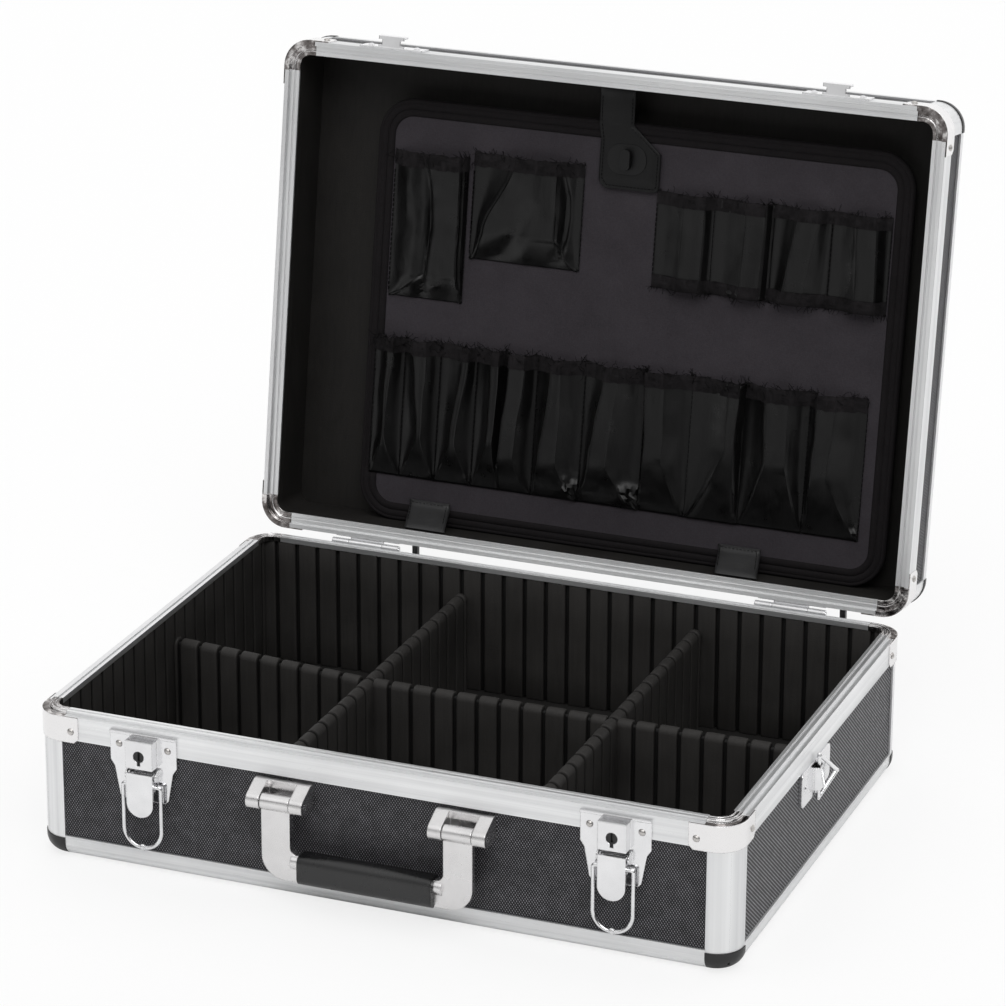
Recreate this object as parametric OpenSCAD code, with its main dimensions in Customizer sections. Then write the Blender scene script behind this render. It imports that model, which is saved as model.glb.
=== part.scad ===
// Hard tool case: black panels in an aluminium frame, padded inside, with a pocket
// board in the lid, two key latches, a carrying handle and two strap rings.
// Origin: middle of the footprint on the floor. Front (latches) is -Y, hinges are +Y.
// The lid is drawn closed and swung open about its hinge pins.

/* [Case] */
// Outside width, left to right
case_w = 455; // [380:5:560]
// Outside depth, front to back
case_d = 330; // [290:5:420]
// Height of the base, floor to parting line
base_h = 95.5; // [92:0.5:140]
// Height of the lid, parting line to outside of the lid panel
lid_h = 50.5; // [48:0.5:80]
// Angle at which the lid stands open
lid_open = 99; // [0:1:99]
// Outside radius of the four upright corners
corner_r = 17; // [16:0.5:20]
// Outside radius of the long bottom and top edges
edge_r = 10; // [9:0.5:11]

/* [Walls and lining] */
// Thickness of the aluminium profiles
skin_t = 1.4; // [1:0.1:1.6]
// Thickness of the laminated panels
panel_t = 3.6; // [3:0.1:4]
// Backing of the ribbed foam on the base walls
foam_t = 3.1; // [2.5:0.1:4]
// Height of the ribs of the foam
rib_h = 1.4; // [0.8:0.1:2]
// Distance from rib to rib
rib_pitch = 15; // [12:1:20]
// Width of the groove between two ribs
groove_w = 3; // [2:0.5:4]
// Foam on the floor of the base
floor_foam_t = 3; // [2:0.5:5]
// Lining of the lid's walls
lid_foam_t = 4; // [3:0.5:4.5]
// Lining behind the pocket board
lid_back_t = 2; // [1:0.5:3]

/* [Frame profiles] */
// Height of the outer band of each rim rail
band_h = 15.5; // [12:0.5:17]
// Width of the rim, outside to inside
rim_w = 9.5; // [9:0.5:11]
// Thickness of the rim's flat web
web_t = 1.6; // [1.2:0.1:2]
// Height of the closing tongue on the base rim
tongue_h = 2; // [1:0.5:2.5]
// Distance of the tongue from the outside
tongue_in = 3.4; // [3:0.1:4]
// Play around the tongue when the lid is shut
tongue_play = 0.6; // [0.4:0.1:1]
// Reach of each upright corner post along a wall
post_leg = 18.5; // [18:0.5:24]
// Reach of the long edge rails up a wall
rail_leg = 14.5; // [13:0.5:20]
// Height of the plastic corner caps
cap_h = 13; // [12:0.5:16]
// How far the plastic caps stand proud of the rails
cap_proud = 0.6; // [0.2:0.1:1]
// Reach of the pressed corner brackets along the rim
bracket_leg = 30; // [28:1:36]
// Where the moulded part of a bracket ends and its tab begins
bracket_turn = 20.5; // [20:0.5:24]
// Height of the bracket sides
bracket_h = 17; // [14:0.5:20]
// Sheet thickness of brackets
bracket_t = 0.8; // [0.6:0.1:1]
// Distance of the bracket rivets from the corner
rivet_in = 25; // [24:0.5:28]
// Distance of the bracket rivets from the parting line
rivet_drop = 9.7; // [8:0.1:12]
// Radius of a rivet head
rivet_r = 2.3; // [1.8:0.1:2.6]
// Height of a rivet head
rivet_h = 1.3; // [0.8:0.1:1.6]

/* [Hinges] */
// Hinge pin axis behind the rear face
hinge_back = 4.3; // [4:0.1:5]
// Hinge pin axis below the parting line
hinge_down = 0.5; // [0:0.1:0.8]
// Middle of each hinge from the end of the case
hinge_in = 77.5; // [72:0.5:95]
// Length of a hinge
hinge_len = 48; // [40:1:56]
// Length of the lid's middle knuckle
knuckle_len = 24; // [18:1:30]
// Outside radius of the knuckles
knuckle_r = 2.6; // [2.3:0.1:3]
// Radius of the hinge pin
hinge_pin_r = 1.2; // [1:0.1:1.4]
// Thickness of the hinge leaves
leaf_t = 1; // [0.8:0.1:1.2]
// Height of the hinge leaves
leaf_h = 13; // [10:0.5:14]
// Width of a lid stop
stop_w = 3.7; // [3:0.1:6]
// Gap between a hinge and its lid stop
stop_gap = 9; // [6:0.5:12]

/* [Dividers] */
// Thickness of a divider over its ribs
divider_t = 9; // [7:0.5:12]
// Height of the dividers above the floor foam
divider_h = 69; // [50:1:78]
// Grooves from the middle to the left long divider
long_left_n = 5; // [4:1:6]
// Grooves from the middle to the right long divider
long_right_n = 6; // [4:1:7]
// Grooves from the middle to the short dividers, toward the rear
short_n = 0; // [-2:1:2]
// Grooves by which the left short divider slants, toward the rear
slant_n = 1; // [0:1:1]
// Play of a divider at each end
divider_play = 0.3; // [0.2:0.1:0.6]
// Thickness of the divider core that stands in a groove
core_t = 2.2; // [1.6:0.1:2.4]
// Reach of a short divider's tongue past its ribs, within its play
divider_tongue = 0.2; // [0.1:0.05:0.2]

/* [Latches] */
// Middle of each latch from the end of the case
latch_in = 74.5; // [66:0.5:80]
// Half width of the latch plate
plate_half = 22.2; // [21:0.1:26]
// Drop from the parting line to the top of the latch plate
plate_drop = 3.5; // [3:0.5:5]
// Height of the latch plate
plate_h = 43.5; // [42:0.5:46]
// Sheet thickness of the latch
plate_t = 1.2; // [1:0.1:1.4]
// Width of the raised lock housing and of the lever
housing_w = 18; // [16:0.5:19]
// How far the lock housing stands out
housing_out = 8.2; // [8.2:0.1:9]
// Height of the lock housing
housing_h = 18; // [17.5:0.1:18.2]
// Length of the lever below its pivot
lever_len = 26.5; // [24:0.5:28]
// Lever pivot axis, outward from the front face
lever_out = 3.6; // [3.6:0.1:3.8]
// Lever pivot axis, down from the parting line
lever_drop = 29; // [29:0.1:29.4]
// Radius of the lever pin
lever_pin_r = 1.1; // [1:0.1:1.2]
// Bail axis, further out than the lever axis
bail_out = 0.8; // [0.6:0.1:1]
// Bail axis, below the lever axis
bail_down = 6.5; // [6.4:0.1:7]
// Radius of the bail wire
bail_r = 1.3; // [1.1:0.1:1.4]
// Half width of the bail, centre of wire
bail_half = 12.6; // [12.4:0.1:13]
// Length of the bail, axis to the middle of its cross wire
bail_len = 41.6; // [40:0.1:42]
// Radius of the bead on the bail
bead_r = 2.5; // [2:0.1:2.6]
// Radius of the lock plug
plug_r = 3.6; // [3:0.1:4]
// Radial running clearance of pins, plugs and knobs
run_fit = 0.05; // [0.03:0.01:0.08]
// Width of the catch hook on the lid
hook_w = 18; // [15:0.5:18]
// How far the catch hook stands out
hook_out = 8.6; // [8.4:0.1:9]

/* [Handle] */
// Middle of each handle arm from the middle of the case
arm_x = 59; // [50:1:70]
// Width of a handle arm
arm_w = 18.6; // [16:0.2:22]
// Thickness of a handle arm
arm_t = 4.5; // [3.5:0.1:6]
// Play between an arm and its bracket ears
arm_play = 0.5; // [0.3:0.1:0.8]
// Width of one bracket ear
ear_w = 8.5; // [6:0.5:10]
// Handle pin axis, outward from the front face
handle_out = 13; // [12:0.5:15]
// Handle pin axis, down from the parting line
handle_drop = 27.1; // [26:0.1:32]
// Radius of the bracket knuckles
ear_r = 5.5; // [4.5:0.1:6]
// Radius of the handle pin
handle_pin_r = 2; // [1.5:0.1:2.5]
// Bottom of the grip below the handle pin
grip_drop = 50; // [46:0.5:52]
// Height of the grip
grip_h = 18.7; // [16:0.1:22]
// Depth of the grip, front to back
grip_depth = 14; // [12:0.5:18]
// Half length of the grip
grip_half = 43.5; // [35:0.5:44]
// Rise of the arched top of the grip
grip_arch = 1.5; // [0.5:0.1:3]

/* [Strap rings] */
// Middle of each ring plate, front to back
ring_y = -18.5; // [-60:0.5:60]
// Middle of each ring plate, down from the parting line
ring_drop = 27; // [26:0.5:40]
// Length of the ring plate
ring_plate_len = 55; // [45:1:60]
// Height of the ring plate
ring_plate_h = 23; // [18:0.5:26]
// Half length of the straight side of the ring
ring_half = 14.5; // [12:0.5:18]
// Reach of the ring from its straight side to its tip
ring_reach = 15; // [14:0.5:20]
// Radius of the ring wire
ring_r = 1.3; // [1.1:0.1:1.5]
// Angle at which the rings stand off the wall
ring_angle = 30; // [20:1:60]

/* [Pocket board] */
// Gap from the board to the lining on the lid's left wall
board_gap_left = 49.5; // [12:0.5:60]
// Gap from the board to the lining on the lid's right wall
board_gap_right = 15.5; // [6:0.5:50]
// Gap from the board to the lining on the latch-side wall
board_gap_top = 25; // [20:0.5:50]
// Depth of the board's face behind the parting line
board_in = 28; // [24:0.5:30]
// Thickness of the board
board_t = 4; // [3:0.5:5]
// Width of the quilted border
border_w = 12; // [8:0.5:16]
// How far the border stands proud on each face
border_proud = 1.5; // [1:0.1:2]
// Radius of the board's corners
board_r = 25; // [20:1:30]
// Thickness of pocket sheets, tabs and strap
sheet_t = 1.2; // [1:0.1:1.5]
// Depth of the tool pockets
pocket_out = 11; // [8:0.5:12]
// Height of the row of pockets
row_h = 94; // [80:1:100]
// Height of the loops
loop_h = 62; // [40:1:70]
// Radius of the turn button's stem
knob_stem_r = 2; // [1.5:0.1:2.5]

/* [Hidden] */
$fn = 48;

// Tiny overlap that keeps cuts clean
eps = 0.01;
half_w = case_w / 2;
half_d = case_d / 2;
wall_t = skin_t + panel_t;
lining_t = foam_t + rib_h;
wall_in = wall_t + lining_t;
post_ring_r = corner_r - wall_t;
base_wall_top = base_h - web_t;
floor_z = wall_t + floor_foam_t;
pivot = [0, half_d + hinge_back, base_h - hinge_down];
groove_top = tongue_h + tongue_play;
lid_wall_h = lid_h - groove_top - web_t;
lid_in = wall_t + lid_foam_t;
divider_end = wall_in + divider_play;
hinge_x = half_w - hinge_in;
latch_x = half_w - latch_in;
long_left_x = -long_left_n * rib_pitch;
long_right_x = long_right_n * rib_pitch;
short_y = short_n * rib_pitch;

aluminium = [0.86, 0.87, 0.88];
chrome = [0.80, 0.81, 0.83];
plastic = [0.10, 0.10, 0.11];
panel_black = [0.22, 0.22, 0.24];
foam_black = [0.12, 0.11, 0.11];
leather_black = [0.08, 0.08, 0.09];
board_grey = [0.20, 0.19, 0.22];

// ---------- helpers ----------

// The lid's parts are drawn closed; this swings them open
module lid_pose() {
    translate(pivot) rotate([-lid_open, 0, 0]) translate(-pivot) children();
}

// Parts drawn from the floor up are turned over onto the top of the lid
module on_lid_top() {
    lid_pose() translate([0, 0, base_h + lid_h]) mirror([0, 0, 1]) children();
}

// Children at one corner, drawn from the outer corner inward, repeated at all four
module four_corners() {
    for (sx = [0, 1], sy = [0, 1])
        mirror([sx, 0, 0]) mirror([0, sy, 0])
            translate([-half_w, -half_d, 0]) children();
}

// Front-wall parts: x across, y up, z outward from the front face
module on_front(x = 0) {
    translate([x, -half_d, 0]) rotate([90, 0, 0]) children();
}

// Side-wall parts at the right: x toward the rear, y up, z outward
module on_right() {
    translate([half_w, 0, 0]) rotate([90, 0, 90]) children();
}

// Lid inside: x across, y from the hinge side to the front, z into the lid
module in_lid() {
    lid_pose() translate([0, half_d, base_h]) mirror([0, 1, 0]) children();
}

// A rectangle with round corners, centred
module round_rect(w, d, r) {
    square([w - 2 * r, d], center = true);
    square([w, d - 2 * r], center = true);
    for (x = [-1, 1], y = [-1, 1])
        translate([x * (w / 2 - r), y * (d / 2 - r)]) circle(r);
}

// A profile drawn as [distance in, height] run along the four walls, ends set back
module along_walls(setback) {
    for (s = [0, 1]) {
        mirror([0, s, 0]) translate([-(half_w - setback), -half_d, 0])
            rotate([90, 0, 90]) linear_extrude(case_w - 2 * setback) children();
        mirror([s, 0, 0]) translate([-half_w, half_d - setback, 0])
            rotate([90, 0, 0]) linear_extrude(case_d - 2 * setback) children();
    }
}

// The same profile turned round the corner centre and run straight to the setback
module round_corner(setback) {
    translate([corner_r, corner_r, 0]) rotate([0, 0, 180]) rotate_extrude(angle = 90)
        translate([corner_r, 0]) mirror([1, 0]) children();
    translate([corner_r, 0, 0]) rotate([90, 0, 90])
        linear_extrude(setback - corner_r) children();
    translate([0, setback, 0]) rotate([90, 0, 0])
        linear_extrude(setback - corner_r) children();
}

// Low domed rivet head on the plane z = 0
module rivet_head(r = rivet_r, h = rivet_h) {
    dome_r = (r * r + h * h) / (2 * h);
    rotate_extrude() intersection() {
        translate([0, h - dome_r]) circle(dome_r);
        square([r, h]);
    }
}

// ---------- profiles of the frame ----------

// Rim of the base: outer band, web and closing tongue with a groove in its top
module base_rim_profile() {
    translate([0, base_h]) polygon([
        [0, -band_h], [skin_t, -band_h], [skin_t, -web_t], [rim_w, -web_t],
        [rim_w, tongue_h], [rim_w - 2.3, tongue_h], [rim_w - 2.7, tongue_h - 0.8],
        [rim_w - 3.3, tongue_h - 0.8], [rim_w - 3.7, tongue_h],
        [tongue_in + 0.2, tongue_h], [tongue_in, 0], [0, 0]]);
}

// Rim of the lid: outer band, ledge and the recess that takes the tongue
module lid_rim_profile() {
    ledge = tongue_in - tongue_play;
    translate([0, base_h]) polygon([
        [0, 0], [ledge, 0], [ledge + 0.2, groove_top], [5.9, groove_top],
        [6.1, groove_top + 0.4], [6.7, groove_top + 0.4], [6.9, groove_top],
        [rim_w, groove_top], [rim_w, groove_top + web_t], [skin_t, groove_top + web_t],
        [skin_t, band_h], [0, band_h]]);
}

// Pressed corner of the base rim, with its raised rings
module base_bracket_profile() {
    rings = [for (i = [0:1]) let (a = rim_w - 1.3 - i * 2.6) each
        [[a, tongue_h], [a - 0.4, tongue_h - 0.9], [a - 1, tongue_h - 0.9],
         [a - 1.4, tongue_h]]];
    translate([0, base_h]) polygon(concat(
        [[-bracket_t, -bracket_h], [0, -bracket_h], [0, -web_t], [rim_w, -web_t],
         [rim_w, tongue_h]],
        rings,
        [[tongue_in + 0.2, tongue_h], [tongue_in, 0], [-bracket_t, 0]]));
}

module lid_bracket_profile() {
    ledge = tongue_in - tongue_play;
    translate([0, base_h]) polygon([
        [-bracket_t, 0], [ledge, 0], [ledge + 0.2, groove_top], [5.4, groove_top],
        [5.8, groove_top + 0.8], [6.6, groove_top + 0.8], [7, groove_top],
        [rim_w, groove_top], [rim_w, groove_top + web_t],
        [0, groove_top + web_t], [0, bracket_h], [-bracket_t, bracket_h]]);
}

// Long rail round a bottom or top edge, holding two panels at right angles
module edge_rail_profile() {
    difference() {
        union() {
            intersection() {
                translate([edge_r, edge_r]) circle(edge_r);
                square([edge_r, edge_r]);
            }
            translate([0, edge_r]) square([skin_t, rail_leg - edge_r]);
            translate([edge_r, 0]) square([rail_leg - edge_r, skin_t]);
        }
        translate([wall_t, wall_t]) square([edge_r, edge_r]);
    }
}

// Upright corner post seen from above, from the outer corner inward
module post_profile() {
    difference() {
        intersection() {
            translate([corner_r, corner_r]) circle(corner_r);
            square([corner_r, corner_r]);
        }
        translate([corner_r, corner_r]) circle(post_ring_r);
    }
    translate([corner_r, 0]) square([post_leg - corner_r, skin_t]);
    translate([0, corner_r]) square([skin_t, post_leg - corner_r]);
}

// ---------- frame pieces, drawn from the floor up ----------

module posts(top) {
    four_corners() translate([0, 0, cap_h]) linear_extrude(top - cap_h) post_profile();
}

module edge_rails() {
    along_walls(post_leg) edge_rail_profile();
}

// Outline of a corner cap from its vertical axis outward
module cap_profile() {
    cap_edge = edge_r + cap_proud;
    out = corner_r + cap_proud;
    intersection() {
        union() {
            translate([out - cap_edge, cap_edge]) circle(cap_edge);
            translate([0, 0]) square([out - cap_edge, cap_h]);
            translate([out - cap_edge, cap_edge]) square([cap_edge, cap_h]);
        }
        square([out, cap_h]);
    }
}

module corner_caps() {
    four_corners() difference() {
        union() {
            translate([corner_r, corner_r, 0]) rotate([0, 0, 180])
                rotate_extrude(angle = 90) cap_profile();
            translate([corner_r, corner_r, 0]) rotate([90, 0, 90])
                linear_extrude(post_leg - corner_r) mirror([1, 0]) cap_profile();
            translate([corner_r, post_leg, 0]) rotate([90, 0, 0])
                linear_extrude(post_leg - corner_r) mirror([1, 0]) cap_profile();
        }
        translate([wall_t, wall_t, wall_t]) cube(post_leg);
        translate([edge_r, edge_r, skin_t]) cube(post_leg);
        translate([corner_r, skin_t, edge_r]) cube([post_leg, wall_t, cap_h]);
        translate([skin_t, corner_r, edge_r]) cube([wall_t, post_leg, cap_h]);
    }
}

// Front or rear panel: stands between the posts, from the edge rail up
module long_wall_panel(top) {
    translate([-(half_w - corner_r), -half_d + skin_t, edge_r])
        cube([case_w - 2 * corner_r, panel_t, top - edge_r]);
}

module short_wall_panels(top) {
    for (s = [0, 1]) mirror([s, 0, 0])
        translate([-half_w + skin_t, -(half_d - corner_r), edge_r])
            cube([panel_t, case_d - 2 * corner_r, top - edge_r]);
}

module flat_panel() {
    translate([-(half_w - edge_r), -(half_d - edge_r), skin_t])
        cube([case_w - 2 * edge_r, case_d - 2 * edge_r, panel_t]);
}

// Tabs of a corner bracket: the side sheets that reach past the post
module bracket_tabs(z0, z1, cut_low) {
    len = bracket_leg - bracket_turn;
    for (k = [0, 1]) mirror([k, -k, 0])
        translate([bracket_turn, 0, 0]) rotate([90, 0, 0])
            linear_extrude(bracket_t) difference() {
                translate([0, z0]) square([len, z1 - z0]);
                translate([len, cut_low ? z0 : z1]) rotate(45) square(4, center = true);
            }
}

// Rivets of the corner brackets, at height z
module bracket_rivets(z) {
    four_corners() for (k = [0, 1]) mirror([k, -k, 0])
        translate([rivet_in, -bracket_t, z]) rotate([90, 0, 0]) rivet_head();
}

// ---------- base ----------

module base_bottom_panel() {
    color(panel_black) flat_panel();
}

module base_front_panel() {
    color(panel_black) long_wall_panel(base_wall_top);
}

module base_rear_panel() {
    color(panel_black) mirror([0, 1, 0]) long_wall_panel(base_wall_top);
}

module base_side_panels() {
    color(panel_black) short_wall_panels(base_wall_top);
}

module base_rim_rails() {
    color(aluminium) along_walls(bracket_turn) base_rim_profile();
}

module base_corner_posts() {
    color(aluminium) posts(base_wall_top);
}

module base_bottom_rails() {
    color(aluminium) edge_rails();
}

module base_corner_caps() {
    color(plastic) corner_caps();
}

module base_corner_brackets() {
    color(chrome) four_corners() {
        round_corner(bracket_turn) base_bracket_profile();
        bracket_tabs(base_h - bracket_h, base_h, true);
    }
}

module base_rivets() {
    color(chrome) {
        bracket_rivets(base_h - rivet_drop);
        // two through the shoulders of each latch plate
        for (x = [-latch_x, latch_x]) on_front(x) for (s = [-1, 1])
            translate([s * (plate_half - 5.9), plate_top - 8, plate_t]) rivet_head();
    }
}

// Ribbed foam of one wall in plan: backing with ribs toward the inside
module ribbed_plan(len) {
    n = floor(len / 2 / rib_pitch);
    translate([-len / 2, 0]) square([len, foam_t]);
    for (i = [-n - 1:n]) {
        x0 = max(i * rib_pitch + groove_w / 2, -len / 2);
        x1 = min((i + 1) * rib_pitch - groove_w / 2, len / 2);
        if (x1 > x0 + 1) translate([x0, 0]) square([x1 - x0, lining_t]);
    }
}

module base_wall_linings() {
    room_w = case_w - 2 * wall_t;
    room_d = case_d - 2 * wall_t;
    color(foam_black) translate([0, 0, floor_z]) linear_extrude(base_wall_top - floor_z)
        intersection() {
            for (s = [0, 1]) {
                mirror([0, s]) translate([0, -room_d / 2]) ribbed_plan(room_w);
                mirror([s, 0]) translate([-room_w / 2, 0]) rotate(-90)
                    ribbed_plan(room_d - 2 * foam_t);
            }
            round_rect(room_w, room_d, post_ring_r);
        }
}

module base_floor_lining() {
    color(foam_black) translate([0, 0, wall_t]) linear_extrude(floor_foam_t)
        round_rect(case_w - 2 * wall_t, case_d - 2 * wall_t, post_ring_r);
}

// ---------- dividers ----------

// Cross-section of a divider with a rounded top, standing on y = 0
module divider_section(t, h) {
    translate([-t / 2, 0]) square([t, h - t / 2]);
    translate([0, h - t / 2]) circle(t / 2);
}

// A divider along x from x0 to x1, its ribs at the pitch of the walls; end0 and end1
// are the reaches of its tongues toward the grooves of the pieces that it meets
module divider(x0, x1, end0, end1) {
    first = floor(x0 / rib_pitch);
    last = ceil(x1 / rib_pitch);
    color(foam_black) translate([0, 0, floor_z]) rotate([90, 0, 90]) {
        translate([0, 0, x0]) linear_extrude(x1 - x0)
            divider_section(divider_t - 2 * rib_h, divider_h - rib_h);
        translate([0, 0, x0 - end0]) linear_extrude(x1 - x0 + end0 + end1)
            translate([-core_t / 2, 0]) square([core_t, divider_h - divider_t]);
        for (i = [first:last]) {
            a = max(i * rib_pitch + groove_w / 2, x0);
            b = min((i + 1) * rib_pitch - groove_w / 2, x1);
            if (b > a + 0.5) translate([0, 0, a]) linear_extrude(b - a)
                divider_section(divider_t, divider_h);
        }
    }
}

// A long divider spans the base, front to back
module long_divider(x) {
    reach = half_d - divider_end;
    translate([x, 0, 0]) rotate([0, 0, 90]) divider(-reach, reach, 0, 0);
}

module long_divider_left() { long_divider(long_left_x); }
module long_divider_right() { long_divider(long_right_x); }

// The left one is set one groove out of line at the wall
module short_divider_left() {
    near_x = long_left_x - divider_t / 2;
    span = near_x + half_w - wall_in;
    slant = atan(slant_n * rib_pitch / span);
    slack = divider_play + divider_t / 2 * sin(slant);
    translate([near_x, short_y, 0]) rotate([0, 0, -slant])
        divider(-span / cos(slant) + slack, -slack, 0, divider_tongue);
}

module short_divider_middle() {
    translate([0, short_y, 0])
        divider(long_left_x + divider_t / 2 + divider_play,
            long_right_x - divider_t / 2 - divider_play, divider_tongue, divider_tongue);
}

module short_divider_right() {
    translate([0, short_y, 0])
        divider(long_right_x + divider_t / 2 + divider_play,
            half_w - wall_in - divider_play, divider_tongue, 0);
}

// ---------- latches ----------

plate_top = base_h - plate_drop;
plate_bottom = plate_top - plate_h;
housing_top = plate_top - 2;
housing_bottom = housing_top - housing_h;
lever_z = base_h - lever_drop;
bail_z = lever_z - bail_down;
bail_o = lever_out + bail_out;
plug_z = housing_top - 9.7;
ear_in = housing_w / 2 + 0.3;
latch_ear_t = 1.1;

// Outline of the latch plate: square shoulders, tapering to the bottom
module plate_outline(inset = 0) {
    shoulder_z = plate_top - 19;
    polygon([
        [-plate_half + inset, plate_top - inset], [plate_half - inset, plate_top - inset],
        [plate_half - inset, shoulder_z], [plate_half - 2.7 - inset, shoulder_z - 4],
        [plate_half - 6 - inset, plate_bottom + 2],
        [plate_half - 8 - inset, plate_bottom + inset],
        [-(plate_half - 8 - inset), plate_bottom + inset],
        [-(plate_half - 6 - inset), plate_bottom + 2],
        [-(plate_half - 2.7 - inset), shoulder_z - 4], [-(plate_half - inset), shoulder_z]]);
}

// Round keyhole with its slot below, at the plug's centre
module keyhole(r) {
    circle(r);
    translate([-1.1, -r - 2.4]) square([2.2, r + 2.4]);
}

module latch_plate(x) {
    color(chrome) on_front(x) difference() {
        union() {
            // sheet, and its edge turned back to the panel below the rim band
            linear_extrude(plate_t) plate_outline();
            translate([0, 0, -skin_t]) linear_extrude(skin_t + eps) difference() {
                plate_outline();
                plate_outline(plate_t);
                translate([-plate_half - 1, base_h - band_h - 0.2])
                    square([2 * plate_half + 2, band_h]);
            }
            // rolled top edge
            translate([-plate_half, plate_top - 1, 0])
                cube([2 * plate_half, 1.6, 2.4]);
            // lock housing, hollow and open below
            difference() {
                translate([-housing_w / 2, housing_bottom, 0])
                    cube([housing_w, housing_h, housing_out]);
                translate([-housing_w / 2 + plate_t, housing_bottom - 1, plate_t])
                    cube([housing_w - 2 * plate_t, housing_h + 1 - plate_t,
                        housing_out - 2 * plate_t]);
            }
            // two ears that carry the lever pin
            for (s = [-1, 1]) translate([s > 0 ? ear_in : -ear_in - latch_ear_t, 0, 0])
                rotate([90, 0, 90]) linear_extrude(latch_ear_t) {
                    translate([lever_z - 3.6, 0]) square([7.2, lever_out]);
                    translate([lever_z, lever_out]) circle(3);
                }
        }
        translate([0, plug_z, plate_t + eps]) linear_extrude(housing_out)
            keyhole(plug_r + run_fit);
        translate([-plate_half, lever_z, lever_out]) rotate([0, 90, 0])
            cylinder(r = lever_pin_r, h = 2 * plate_half);
    }
}

module latch_plate_left() { latch_plate(-latch_x); }
module latch_plate_right() { latch_plate(latch_x); }

// Pins through the plate ears and the levers, with small heads
module lever_pins() {
    reach = ear_in + latch_ear_t;
    color(chrome) for (s = [-1, 1]) on_front(s * latch_x)
        translate([0, lever_z, lever_out]) rotate([0, 90, 0])
            cylinder(r = lever_pin_r, h = 2 * reach, center = true);
}

// Plug of the lock, turned by a flat key in its slot
module lock_plug(x) {
    color(plastic) on_front(x) translate([0, plug_z, plate_t + 0.1]) difference() {
        union() {
            cylinder(r = plug_r, h = housing_out - plate_t - 0.8);
            // collar that keeps the plug in its housing
            cylinder(r = plug_r + 1.2, h = 1.4);
        }
        translate([-0.8, -plug_r + 0.8, housing_out - plate_t - 2.2])
            cube([1.6, 2 * plug_r - 1.6, 3]);
    }
}

module lock_plug_left() { lock_plug(-latch_x); }
module lock_plug_right() { lock_plug(latch_x); }

// Lever: a paddle with a round end and two flanges for the pin and the bail
module latch_lever(x) {
    paddle_t = 1.6;
    paddle_o = housing_out - paddle_t;
    flange_t = 1.2;
    half = housing_w / 2 - 0.2;
    tip_z = lever_z - lever_len + half;
    color(chrome) on_front(x) difference() {
        union() {
            translate([0, 0, paddle_o]) linear_extrude(paddle_t) {
                translate([0, tip_z]) circle(half);
                translate([-half, tip_z]) square([2 * half, lever_z + 2.1 - tip_z]);
            }
            for (s = [-1, 1]) translate([s > 0 ? half - flange_t : -half, 0, 0])
                rotate([90, 0, 90]) linear_extrude(flange_t) {
                    translate([bail_z - 2.6, bail_o]) square([8, paddle_o - bail_o + eps]);
                    translate([lever_z, lever_out]) circle(2.3);
                    translate([bail_z, bail_o]) circle(2.6);
                    translate([bail_z, bail_o - 1.5])
                        square([bail_down, paddle_o - bail_o + 1.5 + eps]);
                }
        }
        translate([-plate_half, lever_z, lever_out]) rotate([0, 90, 0])
            cylinder(r = lever_pin_r + run_fit, h = 2 * plate_half);
        translate([-plate_half, bail_z, bail_o]) rotate([0, 90, 0])
            cylinder(r = bail_r + run_fit, h = 2 * plate_half);
    }
}

module latch_lever_left() { latch_lever(-latch_x); }
module latch_lever_right() { latch_lever(latch_x); }

// Bail: one wire, its ends turned in through the lever, with a bead at the middle
module latch_bail(x) {
    bend = bail_half;
    straight = bail_len - bend;
    in_end = housing_w / 2 - 1.3;
    turn = bail_r + 0.1;
    color(chrome) on_front(x) translate([0, bail_z, bail_o]) {
        for (s = [-1, 1]) {
            translate([s * bail_half, -turn, 0]) rotate([90, 0, 0])
                cylinder(r = bail_r, h = straight - turn);
            translate([s * (bail_half - turn), -turn, 0]) rotate([0, 0, s > 0 ? 0 : 90])
                rotate_extrude(angle = 90) translate([turn, 0]) circle(bail_r);
            translate([s * in_end, 0, 0]) rotate([0, s * 90, 0])
                cylinder(r = bail_r, h = bail_half - turn - in_end);
        }
        translate([0, -straight, 0]) rotate([0, 0, 180]) rotate_extrude(angle = 180)
            translate([bend, 0]) circle(bail_r);
        translate([0, -bail_len + 0.5, 0]) rotate([0, 90, 0])
            cylinder(r = 0.93 * bead_r, h = 0.8 * bead_r, center = true);
        translate([0, -bail_len + 0.5, 0]) rotate([0, 90, 0])
            cylinder(r = 0.75 * bead_r, h = 1.3 * bead_r, center = true);
    }
}

module latch_bail_left() { latch_bail(-latch_x); }
module latch_bail_right() { latch_bail(latch_x); }

// ---------- handle ----------

handle_z = base_h - handle_drop;
grip_bottom = handle_z - grip_drop;

module handle_brackets() {
    gap_half = arm_w / 2 + arm_play;
    top_z = base_h - band_h - 1.5;
    low_z = handle_z - ear_r;
    color(chrome) for (s = [-1, 1]) on_front(s * arm_x) {
        for (e = [-1, 1]) difference() {
            translate([e > 0 ? gap_half : -gap_half - ear_w, 0, 0])
                rotate([90, 0, 90]) linear_extrude(ear_w) {
                    polygon([[low_z, -skin_t], [low_z, handle_out],
                        [handle_z + ear_r * 0.87, handle_out + ear_r * 0.5],
                        [top_z, 4.5], [top_z, -skin_t]]);
                    translate([handle_z, handle_out]) circle(ear_r);
                }
            translate([-arm_w * 2, handle_z, handle_out]) rotate([0, 90, 0])
                cylinder(r = handle_pin_r, h = arm_w * 4);
        }
        // back plate and top bar join the ears
        translate([-gap_half - eps, low_z, -skin_t])
            cube([2 * gap_half + 2 * eps, top_z - low_z, 2 + skin_t]);
        translate([-gap_half - eps, top_z - 5, 0])
            cube([2 * gap_half + 2 * eps, 5, 4.5]);
    }
}

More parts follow.
